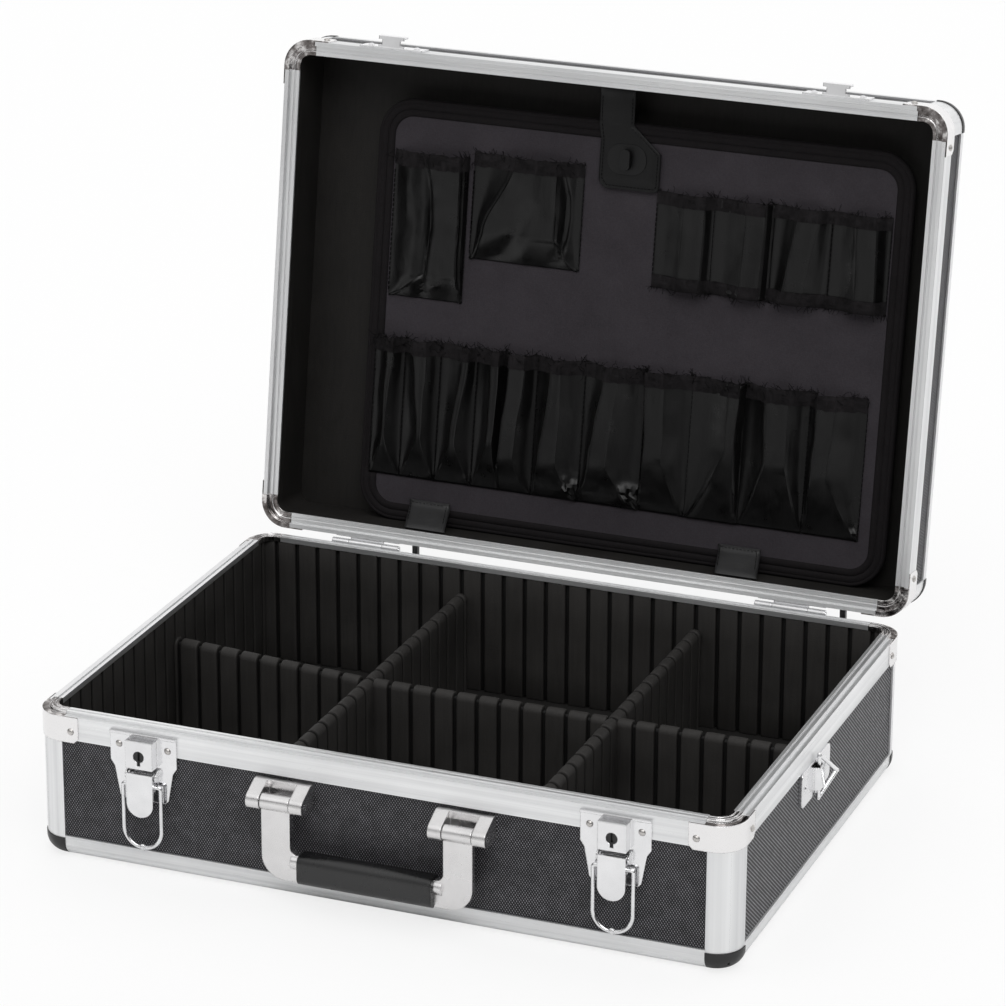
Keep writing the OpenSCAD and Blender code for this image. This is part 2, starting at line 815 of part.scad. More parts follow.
module handle_pins() {
    reach = arm_w / 2 + arm_play + ear_w;
    color(chrome) for (s = [-1, 1]) on_front(s * arm_x)
        translate([0, handle_z, handle_out]) rotate([0, 90, 0])
            cylinder(r = handle_pin_r, h = 2 * reach, center = true);
}

// Outline of the right arm seen from the front: down, round the corner, to the grip
module arm_outline() {
    bend = 15;
    out_x = arm_x + arm_w / 2;
    in_x = arm_x - arm_w / 2;
    low = grip_bottom + 0.6;
    inner = 5;
    difference() {
        union() {
            translate([in_x, low + bend]) square([arm_w, handle_z - low - bend]);
            intersection() {
                translate([out_x - bend, low + bend]) circle(bend);
                translate([out_x - bend, low]) square([bend, bend]);
            }
            translate([grip_half, low]) square([out_x - bend - grip_half, bend + eps]);
            translate([grip_half, low]) square([in_x - grip_half + eps, grip_h - 1.2]);
            translate([in_x - inner, low + grip_h - 1.2 - eps]) square([inner + eps, inner]);
        }
        translate([in_x - inner, low + grip_h - 1.2 + inner]) circle(inner);
    }
}

// Arms: cast, with a knuckle on the pin and a round boss beside the grip
module handle_arms() {
    color(chrome) for (s = [0, 1]) mirror([s, 0, 0]) on_front() difference() {
        union() {
            translate([0, 0, handle_out - arm_t / 2]) linear_extrude(arm_t) arm_outline();
            translate([arm_x, handle_z, handle_out]) rotate([0, 90, 0])
                cylinder(r = ear_r - 0.5, h = arm_w, center = true);
            translate([grip_half, grip_bottom + grip_h - 5.5, handle_out])
                rotate([0, 90, 0]) cylinder(r = 4.6, h = 5.5);
        }
        translate([arm_x - arm_w, handle_z, handle_out]) rotate([0, 90, 0])
            cylinder(r = handle_pin_r + run_fit, h = 2 * arm_w);
    }
}

// Grip: rounded section, straight below and gently arched on top
module handle_grip() {
    chord = grip_half + 0.001;
    arch_r = (chord * chord + grip_arch * grip_arch) / (2 * grip_arch);
    r = 6;
    color(plastic) on_front() intersection() {
        translate([-grip_half, 0, 0]) rotate([90, 0, 90]) linear_extrude(2 * grip_half)
            translate([grip_bottom + (grip_h + grip_arch) / 2, handle_out])
                round_rect(grip_h + grip_arch, grip_depth, r);
        translate([0, 0, handle_out - grip_depth]) linear_extrude(2 * grip_depth)
            intersection() {
                translate([0, grip_bottom + grip_h + grip_arch - arch_r])
                    circle(arch_r, $fn = 360);
                translate([-grip_half, grip_bottom])
                    square([2 * grip_half, grip_h + grip_arch]);
            }
    }
}

// ---------- strap rings ----------

ring_z = base_h - ring_drop;
ring_o = 2.8;
saddle_half = 6;

module ring_plates() {
    saddle_h = 14.8;
    color(chrome) for (s = [0, 1]) mirror([s, 0, 0]) on_right()
        translate([ring_y, ring_z, 0]) {
            difference() {
                translate([0, 0, -skin_t]) linear_extrude(skin_t + plate_t)
                    round_rect(ring_plate_len, ring_plate_h, 4);
                // clear of the rim band, which the plate's upper edge overlaps
                translate([-ring_plate_len, ring_drop - band_h, -skin_t - eps])
                    cube([2 * ring_plate_len, ring_plate_h, skin_t + eps]);
            }
            // bridge over the ring's straight side
            translate([0, -saddle_h / 2, plate_t - eps]) rotate([-90, 0, 0])
                linear_extrude(saddle_h) mirror([0, 1]) difference() {
                    intersection() {
                        circle(saddle_half);
                        translate([-saddle_half, 0]) square([2 * saddle_half, 4.4]);
                    }
                    intersection() {
                        circle(saddle_half - 1.4);
                        translate([-saddle_half, -1]) square([2 * saddle_half, 4.2]);
                    }
                }
            for (e = [-1, 1]) translate([e * (ring_plate_len / 2 - 6.5), 0, plate_t])
                rivet_head();
        }
}

// Triangular wire ring, beaded at its corners; its straight side is its axis
module ring_wire() {
    lean = atan(ring_half / ring_reach);
    leg = norm([ring_half, ring_reach]);
    rotate([90, 0, 0]) cylinder(r = ring_r, h = 2 * ring_half, center = true);
    for (s = [-1, 1]) translate([0, s * ring_half, 0]) {
        sphere(ring_r + 0.15);
        rotate([0, 0, -s * lean]) rotate([0, 90, 0]) cylinder(r = ring_r, h = leg);
    }
    translate([ring_reach, 0, 0]) sphere(ring_r + 0.15);
}

module strap_ring(side) {
    color(chrome) mirror([side, 0, 0]) on_right() translate([ring_y, ring_z, ring_o])
        rotate([0, -ring_angle, 0]) ring_wire();
}

module strap_ring_right() { strap_ring(0); }
module strap_ring_left() { strap_ring(1); }

// ---------- hinges ----------

// Knuckles from x0 to x1 round the pin, with the sheet that joins them to a leaf
module knuckle(x0, x1, up) {
    translate([x0, pivot[1], pivot[2]]) rotate([90, 0, 90]) linear_extrude(x1 - x0)
        difference() {
            union() {
                circle(knuckle_r);
                translate([-hinge_back, up ? knuckle_r - leaf_t : -knuckle_r])
                    square([hinge_back, leaf_t]);
                translate([-hinge_back, up ? knuckle_r - leaf_t : -knuckle_r - leaf_h + leaf_t])
                    square([leaf_t, leaf_h]);
            }
            circle(hinge_pin_r + (up ? run_fit : 0));
        }
}

module hinge_base_leaves() {
    end = (hinge_len - knuckle_len) / 2;
    color(chrome) for (s = [-1, 1]) translate([s * hinge_x, 0, 0]) {
        knuckle(-hinge_len / 2, -knuckle_len / 2 - 0.2, false);
        knuckle(knuckle_len / 2 + 0.2, hinge_len / 2, false);
        translate([-hinge_len / 2 + end / 2, half_d, pivot[2] - knuckle_r - leaf_h + leaf_t])
            cube([hinge_len - end, leaf_t, leaf_h - 1]);
    }
}

module hinge_lid_leaves() {
    end = (hinge_len - knuckle_len) / 2;
    color(chrome) lid_pose() for (s = [-1, 1]) translate([s * hinge_x, 0, 0]) {
        knuckle(-knuckle_len / 2, knuckle_len / 2, true);
        translate([-hinge_len / 2 + 1, half_d, pivot[2] + knuckle_r])
            cube([hinge_len - 2, leaf_t, leaf_h - leaf_t]);
    }
}

module hinge_pins() {
    color(chrome) for (s = [-1, 1])
        translate([s * hinge_x, pivot[1], pivot[2]]) rotate([0, 90, 0])
            cylinder(r = hinge_pin_r, h = hinge_len + 1, center = true);
}

// Angle at which the lid meets its stops
open_limit = 99;

// Height above the pin axis of the open lid's rear face, at y behind the axis
function face_z(y) = hinge_back / cos(open_limit - 90) - y * tan(open_limit - 90) - 0.3;

// Plastic stops beside the hinges, just under the rear face of the open lid
module lid_stops() {
    color(plastic) for (s = [-1, 1])
        translate([s * hinge_x + hinge_len / 2 + stop_gap, pivot[1], pivot[2]])
            rotate([90, 0, 90]) linear_extrude(stop_w) polygon([
                [-hinge_back, -11], [2.5, -11], [5.5, -8], [5.5, face_z(5.5)],
                [1.8, face_z(1.8)], [1.8, -knuckle_r], [-hinge_back, -knuckle_r]]);
}

// ---------- lid frame ----------

module lid_top_panel() {
    color(panel_black) on_lid_top() flat_panel();
}

module lid_front_panel() {
    color(panel_black) on_lid_top() long_wall_panel(lid_wall_h);
}

module lid_rear_panel() {
    color(panel_black) on_lid_top() mirror([0, 1, 0]) long_wall_panel(lid_wall_h);
}

module lid_side_panels() {
    color(panel_black) on_lid_top() short_wall_panels(lid_wall_h);
}

module lid_rim_rails() {
    color(aluminium) lid_pose() along_walls(bracket_turn) lid_rim_profile();
}

module lid_corner_posts() {
    color(aluminium) on_lid_top() posts(lid_wall_h);
}

module lid_edge_rails() {
    color(aluminium) on_lid_top() edge_rails();
}

module lid_corner_caps() {
    color(plastic) on_lid_top() corner_caps();
}

module lid_corner_brackets() {
    color(chrome) lid_pose() four_corners() {
        round_corner(bracket_turn) lid_bracket_profile();
        bracket_tabs(base_h, base_h + bracket_h, false);
    }
}

module lid_rivets() {
    color(chrome) lid_pose() bracket_rivets(base_h + rivet_drop);
}

// Flat lining sheet behind the board
module lid_back_lining() {
    color(foam_black) on_lid_top() translate([0, 0, wall_t]) linear_extrude(lid_back_t)
        round_rect(case_w - 2 * wall_t, case_d - 2 * wall_t, post_ring_r);
}

// Flat lining strips of the lid's walls
module lid_wall_linings() {
    room_w = case_w - 2 * wall_t;
    room_d = case_d - 2 * wall_t;
    low = wall_t + lid_back_t;
    color(foam_black) on_lid_top() translate([0, 0, low])
        linear_extrude(lid_wall_h - low) difference() {
            round_rect(room_w, room_d, post_ring_r);
            square([room_w - 2 * lid_foam_t, room_d - 2 * lid_foam_t], center = true);
        }
}

// Catch over each latch: a plate with a curled hook for the bail
module lid_catches() {
    z0 = base_h + 0.7;
    strip_t = 1.1;
    lip_h = 7.4;
    lip_t = 1.4;
    notch = 2.5;
    color(chrome) lid_pose() for (s = [-1, 1]) on_front(s * latch_x) {
        difference() {
            union() {
                translate([-plate_half, z0, 0]) cube([2 * plate_half, 12.8, plate_t]);
                translate([-hook_w / 2, z0 + 0.4, 0]) cube([hook_w, strip_t, hook_out]);
            }
            // notches beside the hook, clear of the bail
            for (e = [-1, 1]) translate([e > 0 ? hook_w / 2 - notch : -hook_w / 2 - eps,
                z0, bail_o - bail_r - 0.5])
                cube([notch + eps, strip_t + 1, 2 * bail_r + 1]);
        }
        translate([-hook_w / 2, z0 + 0.4, hook_out - lip_t])
            cube([hook_w, lip_h - lip_t / 2, lip_t]);
        translate([-hook_w / 2, z0 + 0.4 + lip_h - lip_t / 2, hook_out - lip_t / 2])
            rotate([0, 90, 0]) cylinder(r = lip_t / 2, h = hook_w);
        for (e = [-1, 1]) translate([e * (plate_half - 6), z0 + 6.4, plate_t])
            rivet_head();
    }
}

// ---------- pocket board ----------

wall_in_lid = wall_t + lid_foam_t;
board_w = case_w - 2 * wall_in_lid - board_gap_left - board_gap_right;
board_h = case_d - 2 * wall_in_lid - board_gap_top;
board_x = (board_gap_left - board_gap_right) / 2;
board_mid_v = wall_in_lid + board_h / 2;
border_in = board_in - border_proud;

// Board face: x across, y from the hinge side up the board, z toward the viewer
module on_board() {
    in_lid() translate([0, 0, board_in]) mirror([0, 0, 1]) children();
}

module board_outline(inset) {
    translate([board_x, board_mid_v])
        round_rect(board_w - 2 * inset, board_h - 2 * inset, board_r - inset);
}

module tool_board() {
    color(board_grey) on_board() translate([0, 0, -board_t]) linear_extrude(board_t)
        board_outline(2);
}

// Quilted border wrapped round the board's edge
module board_border() {
    color(foam_black) on_board() difference() {
        translate([0, 0, -board_t - border_proud])
            linear_extrude(board_t + 2 * border_proud) difference() {
                board_outline(0);
                board_outline(border_w);
            }
        translate([0, 0, -board_t]) linear_extrude(board_t) board_outline(2);
        // the end of the pocket row is stitched in here
        translate([row_x0 - 0.3, row_v0 - 0.3, 0])
            cube([row_len + 0.6, row_h + 0.6, border_proud + eps]);
    }
}

// Arch with rounded shoulders, w wide and out high, standing on y = 0
module arch_solid(w, out, r) {
    intersection() {
        union() {
            translate([r, out - r]) circle(r);
            translate([w - r, out - r]) circle(r);
            translate([r, 0]) square([w - 2 * r, out]);
            square([w, out - r]);
        }
        square([w, out]);
    }
}

// Cross-section of a pocket or loop, open toward the board
module arch_section(w, out) {
    r = min(7, w / 2 - 1);
    difference() {
        arch_solid(w, out, r);
        translate([sheet_t, -1]) arch_solid(w - 2 * sheet_t, out - sheet_t + 1, r - sheet_t);
    }
}

// One pocket: x0 and v0 its lower left, w wide and h high, closed at the bottom
module pocket(x0, v0, w, h, out) {
    on_board() translate([x0, v0, 0]) {
        translate([0, h, 0]) rotate([90, 0, 0]) linear_extrude(h - sheet_t)
            arch_section(w, out);
        translate([0, sheet_t, 0]) rotate([90, 0, 0]) linear_extrude(sheet_t)
            arch_solid(w, out, min(7, w / 2 - 1));
    }
}

seam = 0.5;
row_x0 = board_x - board_w / 2 + 0.44 * border_w;
row_v0 = wall_in_lid + 0.108 * board_h;
row_len = board_w - 1.96 * border_w;
// room over the row, up to the border
upper_v0 = row_v0 + row_h;
upper_room = wall_in_lid + board_h - border_w - upper_v0;
// widths of the pockets in the row, left to right
row_w = [22, 23, 23, 21, 25.5, 35, 38, 33, 37, 43, 41.5];

// Sum of the first n widths
function width_to(n) = n <= 0 ? 0 : row_w[n - 1] + width_to(n - 1);

module lower_pockets() {
    k = row_len / width_to(len(row_w));
    color(leather_black) for (i = [0:len(row_w) - 1])
        pocket(row_x0 + k * width_to(i) + seam / 2, row_v0, k * row_w[i] - seam, row_h,
            pocket_out);
}

side_out = 9;

// A tall pocket and a wide one, side by side
module upper_pockets() {
    color(leather_black) {
        pocket(row_x0 + 0.0215 * board_w, upper_v0 + 0.193 * upper_room,
            0.1425 * board_w, 0.647 * upper_room, side_out);
        pocket(row_x0 + 0.1734 * board_w, upper_v0 + 0.4 * upper_room,
            0.2097 * board_w, 0.47 * upper_room, side_out);
    }
}

// Four loops in a row, open at both ends
module tool_loops() {
    n = 4;
    w = 0.1075 * board_w;
    color(leather_black) on_board()
        for (i = [0:n - 1])
            translate([board_x + board_w / 2 - border_w - 1 - (n - i) * w + seam / 2,
                upper_v0 + 0.38 * upper_room + loop_h, 0])
                rotate([90, 0, 0]) linear_extrude(loop_h)
                    arch_section(w - seam, side_out);
}

// Tabs that hold the board's lower edge to the hinge-side wall
module board_tabs() {
    color(leather_black) for (k = [-0.4086, 0.1828]) in_lid()
        translate([board_x + k * board_w, 0, 0])
        rotate([90, 0, 90]) linear_extrude(0.0871 * board_w) {
            translate([wall_in_lid, border_in - sheet_t]) square([1.383 * border_w, sheet_t]);
            translate([wall_in_lid, 0.245 * border_in]) square([sheet_t, 0.755 * border_in]);
        }
}

strap_x = board_x - 17;
strap_v = case_d - wall_in_lid;
knob_x = strap_x + 8;
knob_v = board_mid_v + board_h / 2 - 24;
strap_low = knob_v - 20;

// Strap from the wall over the board's top border to the turn button
module board_strap() {
    neck_w = 24.4;
    head_w = 42;
    head_x = knob_x - head_w / 2 + 2;
    face = border_in - sheet_t;
    color(leather_black) in_lid() difference() {
        union() {
            // fixed to the wall, then down to the border
            translate([strap_x - 13, 0, 0]) rotate([90, 0, 90]) linear_extrude(neck_w)
                polygon([[strap_v, face - 16], [strap_v, face - 2],
                    [knob_v + 24, face + sheet_t], [knob_v + 8, face + sheet_t],
                    [knob_v + 8, face], [knob_v + 23.8, face],
                    [strap_v - sheet_t, face - 2.6], [strap_v - sheet_t, face - 16]]);
            translate([0, 0, face]) linear_extrude(sheet_t) polygon([
                [strap_x - 13, knob_v + 22], [strap_x - 13 + neck_w, knob_v + 22],
                [head_x + head_w, knob_v + 5], [head_x + head_w, strap_low + 3],
                [head_x + head_w - 3, strap_low], [head_x + 5, strap_low],
                [head_x, strap_low + 5], [head_x, knob_v + 12]]);
        }
        translate([knob_x, knob_v, 0]) cylinder(r = knob_stem_r + 1.6, h = 3 * board_in);
    }
}

// Oval plate round the strap's hole
module strap_eyelet() {
    color(plastic) in_lid() translate([knob_x, knob_v, border_in - sheet_t - 1])
        linear_extrude(1) difference() {
            round_rect(27, 20, 9.5);
            circle(knob_stem_r + 1.6);
        }
}

// Socket of the turn button, on the board
module turn_lock_base() {
    color(plastic) in_lid() translate([knob_x, knob_v, 0]) difference() {
        union() {
            translate([0, 0, border_in]) linear_extrude(board_in - border_in)
                round_rect(20, 14, 6);
            translate([0, 0, border_in - sheet_t - 1])
                cylinder(r = knob_stem_r + 1.2, h = sheet_t + 1 + eps);
        }
        translate([0, 0, border_in - sheet_t - 2])
            cylinder(r = knob_stem_r + run_fit, h = board_in);
    }
}

// Turn button: a long oval knob on a stem
module turn_button() {
    top = border_in - sheet_t - 1.3;
    knob_h = 4.5;
    color(plastic) in_lid() translate([knob_x, knob_v, 0]) {
        translate([0, 0, top - eps]) cylinder(r = knob_stem_r, h = board_in - top - 0.1);
        translate([0, 0, top - knob_h]) linear_extrude(knob_h) round_rect(7, 14, 3.4);
    }
}

// ---------- assembly ----------

base_bottom_panel();
base_front_panel();
base_rear_panel();
base_side_panels();
base_rim_rails();
base_corner_posts();
base_bottom_rails();
base_corner_caps();
base_corner_brackets();
base_rivets();
base_wall_linings();
base_floor_lining();
latch_plate_left();
latch_plate_right();
lever_pins();
handle_brackets();
handle_pins();
ring_plates();
hinge_base_leaves();
hinge_pins();
lid_stops();
lock_plug_left();
lock_plug_right();
latch_lever_left();
latch_lever_right();
latch_bail_left();
latch_bail_right();
handle_arms();
handle_grip();
strap_ring_left();
strap_ring_right();
long_divider_left();
long_divider_right();
short_divider_left();
short_divider_middle();
short_divider_right();
lid_top_panel();
lid_front_panel();
lid_rear_panel();
lid_side_panels();
lid_rim_rails();
lid_corner_posts();
lid_edge_rails();
lid_corner_caps();
lid_corner_brackets();
lid_rivets();
lid_wall_linings();
lid_back_lining();
lid_catches();
hinge_lid_leaves();
tool_board();
board_border();
lower_pockets();
upper_pockets();
tool_loops();
board_tabs();
board_strap();
strap_eyelet();
turn_lock_base();
turn_button();
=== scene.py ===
import bpy, bmesh, math, random
from mathutils import Vector, Matrix, noise


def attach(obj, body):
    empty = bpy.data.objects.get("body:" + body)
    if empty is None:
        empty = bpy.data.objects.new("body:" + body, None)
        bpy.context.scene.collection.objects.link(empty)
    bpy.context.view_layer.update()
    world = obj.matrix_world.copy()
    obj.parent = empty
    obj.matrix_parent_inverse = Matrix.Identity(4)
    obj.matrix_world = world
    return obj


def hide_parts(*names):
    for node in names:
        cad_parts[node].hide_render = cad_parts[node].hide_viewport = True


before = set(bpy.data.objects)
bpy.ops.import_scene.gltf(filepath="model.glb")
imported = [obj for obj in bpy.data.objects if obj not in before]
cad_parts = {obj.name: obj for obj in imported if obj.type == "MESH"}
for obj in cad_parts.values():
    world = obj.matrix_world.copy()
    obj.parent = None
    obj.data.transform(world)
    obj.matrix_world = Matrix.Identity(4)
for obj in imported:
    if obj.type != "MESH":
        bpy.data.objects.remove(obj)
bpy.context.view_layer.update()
scene = bpy.context.scene
MM = 0.001

# ------ camera
AZ, EL, ROLL = math.radians(21.51), math.radians(20.81), math.radians(0.277)
CAM_AT = (0.9393, -2.3434, 1.1661)
SENSOR = 36
LENS = 4364.25 / 1006 * SENSOR  # focal length over picture width, both in pixels
back = Vector((math.sin(AZ) * math.cos(EL), -math.cos(AZ) * math.cos(EL), math.sin(EL)))
right = Vector((0, 0, 1)).cross(back).normalized()
up = back.cross(right)
cr, sr = math.cos(ROLL), math.sin(ROLL)
rx, uy = right * cr + up * sr, up * cr - right * sr
cam_data = bpy.data.cameras.new("camera")
cam_data.sensor_width = SENSOR
cam_data.sensor_fit = "HORIZONTAL"
cam_data.lens = LENS
cam_data.clip_start, cam_data.clip_end = 0.05, 60
cam = bpy.data.objects.new("camera", cam_data)
scene.collection.objects.link(cam)
m = Matrix.Identity(4)
for i in range(3):
    m[i][0], m[i][1], m[i][2], m[i][3] = rx[i], uy[i], back[i], CAM_AT[i]
cam.matrix_world = m
scene.camera = cam

# ------ dimensions (mm)
W, D, BH, LH = 455.0, 330.0, 95.5, 50.5  # case width and depth, heights of base and lid
HW, HD = W / 2, D / 2
WALL, FOAM, RIB, PITCH = 5.0, 3.1, 1.4, 15.0  # wall, foam under the ribs, rib height and pitch
FLOOR_Z = 8.0  # top of the floor foam
LID = math.radians(99)  # how far the lid stands open
HINGE_Y, HINGE_Z = 169.3, 95.0
RIM_IN, RIM_UP = 4.3, 0.5  # the rim's rear edge from the hinge axis
BX, BW, BHT, BIN = 17.0, 372.0, 287.0, 28.0  # board: centre, width, height, depth of its face in the lid
WIL = 9.0  # wall and foam of the lid
FACE = BIN - 1.5 - 1.2  # depth of tabs and strap, over the border
DIVIDER_T, DIVIDER_H = 9.0, 69.0
DIVIDER_PLAY = 0.3
LONG_LEFT, LONG_RIGHT = -75.0, 90.0  # where the long dividers stand
KEY_X, KEY_Z = 153.0, 80.3  # lock plugs
THICK_PU = 0.8


def L(x, v, d):
    """A point of the open lid: x across, v up from the hinge side, d behind the rim plane; mm in, metres out."""
    y0, z0 = -RIM_IN - v, RIM_UP + d
    y = HINGE_Y + y0 * math.cos(LID) + z0 * math.sin(LID)
    z = HINGE_Z - y0 * math.sin(LID) + z0 * math.cos(LID)
    return (x * MM, y * MM, z * MM)


def P(x, y, z):
    """A point of the base; mm in, metres out."""
    return (x * MM, y * MM, z * MM)


def swell(x, y, z):
    """Smooth noise between -1 and 1."""
    return noise.noise(Vector((x, y, z)))


# ------ node helpers
class Nodes:
    """Short calls for the nodes of one tree."""

    def __init__(self, owner):
        owner.use_nodes = True
        self.t = owner.node_tree
        self.t.nodes.clear()

    def n(self, kind, **k):
        x = self.t.nodes.new(kind)
        for a, v in k.items():
            setattr(x, a, v)
        return x

    def l(self, a, b):
        self.t.links.new(a, b)

    def val(self, sock, v):
        if hasattr(v, "is_output"):
            self.l(v, sock)
        else:
            sock.default_value = v

    def math(self, op, a, b=0.0, c=0.0):
        x = self.n("ShaderNodeMath", operation=op)
        self.val(x.inputs[0], a)
        self.val(x.inputs[1], b)
        if op == "MULTIPLY_ADD":
            self.val(x.inputs[2], c)
        return x.outputs[0]

    def range(self, v, a, b, c=0.0, d=1.0, kind="LINEAR"):
        x = self.n("ShaderNodeMapRange", interpolation_type=kind)
        self.l(v, x.inputs[0])
        for i, q in enumerate((a, b, c, d)):
            x.inputs[i + 1].default_value = q
        return x.outputs[0]

    def shader(self, kind, strength):
        """A white emission or background."""
        x = self.n(kind)
        x.inputs["Color"].default_value = (1, 1, 1, 1)
        self.val(x.inputs["Strength"], strength)
        return x.outputs[0]

    def blend_shaders(self, fac, a, b, out):
        x = self.n("ShaderNodeMixShader")
        for i, s in enumerate((fac, a, b)):
            self.l(s, x.inputs[i])
        self.l(x.outputs[0], out.inputs[0])


class Mat(Nodes):
    """One material around a Principled shader."""

    def __init__(self, name):
        self.m = bpy.data.materials.new(name)
        super().__init__(self.m)
        self.out = self.n("ShaderNodeOutputMaterial")
        self.b = self.n("ShaderNodeBsdfPrincipled")
        self.l(self.b.outputs[0], self.out.inputs[0])
        self.co = self.n("ShaderNodeTexCoord").outputs["Object"]

    def mapping(self, scale=(1, 1, 1), rot=(0, 0, 0), src=None):
        x = self.n("ShaderNodeMapping")
        x.inputs["Scale"].default_value = scale
        x.inputs["Rotation"].default_value = rot
        self.l(src or self.co, x.inputs["Vector"])
        return x.outputs[0]

    def turned(self, lid):
        """Coordinates square to the case, also on the open lid."""
        return self.mapping(rot=(LID, 0, 0)) if lid else self.co

    def split(self, src=None):
        x = self.n("ShaderNodeSeparateXYZ")
        self.l(src or self.co, x.inputs[0])
        return x.outputs

    def noise(self, scale, vec=None, detail=3.0, rough=0.55):
        x = self.n("ShaderNodeTexNoise")
        x.inputs["Scale"].default_value = scale
        x.inputs["Detail"].default_value = detail
        x.inputs["Roughness"].default_value = rough
        self.l(vec or self.co, x.inputs["Vector"])
        return x.outputs[0]

    def streaks(self, scale, detail=3, rough=0.6, src=None):
        """Noise stretched by a scale for each axis."""
        return self.noise(1.0, self.mapping(scale=scale, src=src), detail, rough)

    def voronoi(self, scale, feature="F1"):
        x = self.n("ShaderNodeTexVoronoi", feature=feature)
        x.inputs["Scale"].default_value = scale
        self.l(self.co, x.inputs["Vector"])
        return x.outputs["Distance"]

    def ramp(self, fac, stops):
        x = self.n("ShaderNodeValToRGB")
        e = x.color_ramp.elements
        while len(e) < len(stops):
            e.new(0.5)
        for el, (p, c) in zip(e, stops):
            el.position = p
            el.color = (*c, 1)
        self.l(fac, x.inputs[0])
        return x.outputs[0]

    def tints(self, fac, tone, lo, hi, at=(0.3, 0.7)):
        """A tone from lo to hi times itself."""
        return self.ramp(fac, [(p, tuple(c * k for c in tone)) for p, k in zip(at, (lo, hi))])

    def blend(self, a, ka, b, kb):
        """Two values, each times its share."""
        return self.math("ADD", self.math("MULTIPLY", a, ka), self.math("MULTIPLY", b, kb))

    def mix(self, fac, a, b, kind="RGBA"):
        x = self.n("ShaderNodeMix", data_type=kind)
        first = 6 if kind == "RGBA" else 2
        self.l(fac, x.inputs[0])
        self.val(x.inputs[first], a)
        self.val(x.inputs[first + 1], b)
        return x.outputs[2 if kind == "RGBA" else 0]

    def bump(self, height, strength=0.3, dist=0.001, bevel=None):
        """Relief from a height, over edges rounded by bevel metres."""
        x = self.n("ShaderNodeBump")
        x.inputs["Strength"].default_value = strength
        x.inputs["Distance"].default_value = dist
        self.l(height, x.inputs["Height"])
        if bevel:
            edge = self.n("ShaderNodeBevel", samples=4)
            edge.inputs["Radius"].default_value = bevel
            self.l(edge.outputs[0], x.inputs["Normal"])
        return x.outputs[0]

    def set(self, **k):
        for a, v in k.items():
            self.val(self.b.inputs[a.replace("_", " ")], (*v, 1) if isinstance(v, tuple) else v)
        return self


SIDE_X = 0.2085  # rails further out than this run front to back
GRAIN = 0.00165  # repeat of the laminate's grain


def alu(name, lid=False, upright=False):
    """Satin aluminium profile with fine lengthwise lines, which stand upright on a post."""
    q = Mat(name)
    src = q.turned(lid)
    if upright:
        lines = q.streaks((2600, 2600, 18), 2, 0.6, src)
        tone = q.streaks((170, 170, 2.5), 2, 0.5, src)
        stops = [(0.32, (0.72, 0.725, 0.735)), (0.50, (0.81, 0.815, 0.82)), (0.66, (0.88, 0.885, 0.89))]
        dull, relief = (0.30, 0.44), 0.10
    else:
        side = q.math("GREATER_THAN", q.math("ABSOLUTE", q.split()[0]), SIDE_X)
        lines = q.mix(side, q.streaks((18, 2600, 2600), 2, 0.6, src), q.streaks((2600, 18, 2600), 2, 0.6, src), "FLOAT")
        waves = q.mix(side, q.streaks((2.5, 240, 240), 3, 0.6, src), q.streaks((240, 2.5, 240), 3, 0.6, src), "FLOAT")
        tone = q.blend(q.noise(9, None, 3, 0.6), 0.35, waves, 0.65)
        stops = [(0.32, (0.66, 0.665, 0.675)), (0.50, (0.80, 0.805, 0.81)), (0.66, (0.90, 0.905, 0.91))]
        dull, relief = (0.27, 0.42), 0.12
    return q.set(Base_Color=q.ramp(tone, stops), Metallic=0.80, Roughness=q.range(lines, 0.3, 0.7, *dull),
                 Normal=q.bump(lines, relief, 0.0004, 0.0005)).m


def chrome(name, tint=(0.87, 0.87, 0.88), rough=0.13):
    """Plated, polished sheet with faint polishing waves."""
    q = Mat(name)
    h = q.blend(q.noise(55, None, 2, 0.5), 1.0, q.noise(900, None, 2, 0.5), 0.05)
    return q.set(Base_Color=q.tints(q.noise(60, None, 3, 0.6), tint, 0.90, 1.0), Metallic=1.0,
                 Roughness=q.range(q.noise(30, None, 3, 0.6), 0.35, 0.7, rough - 0.04, rough + 0.10),
                 Normal=q.bump(h, 0.26, 0.0014, 0.0010)).m


def bracket(name, front, tint=(0.86, 0.85, 0.85)):
    """Plated corner bracket: polished, with a painted reflection on its flange, the side that looks along front."""
    q = Mat(name)
    d = q.n("ShaderNodeVectorMath", operation="DOT_PRODUCT")
    q.l(q.n("ShaderNodeNewGeometry").outputs["True Normal"], d.inputs[0])
    d.inputs[1].default_value = front
    on = q.range(d.outputs["Value"], 0.55, 0.85)
    # painted reflection: streaks from near black to bright in the flange's colour stand in for a dark room mirrored in
    # the polished metal
    streak = q.noise(130, None, 3, 0.6)
    flange = q.ramp(streak, [(0.36, (0.075, 0.066, 0.062)), (0.52, (0.26, 0.24, 0.235)), (0.64, (0.82, 0.80, 0.79))])
    return q.set(Base_Color=q.mix(on, (*tint, 1), flange), Metallic=1.0,
                 Roughness=q.range(streak, 0.3, 0.7, 0.10, 0.20),
                 Normal=q.bump(q.noise(150, None, 2, 0.5), 0.3, 0.0014, 0.0010)).m


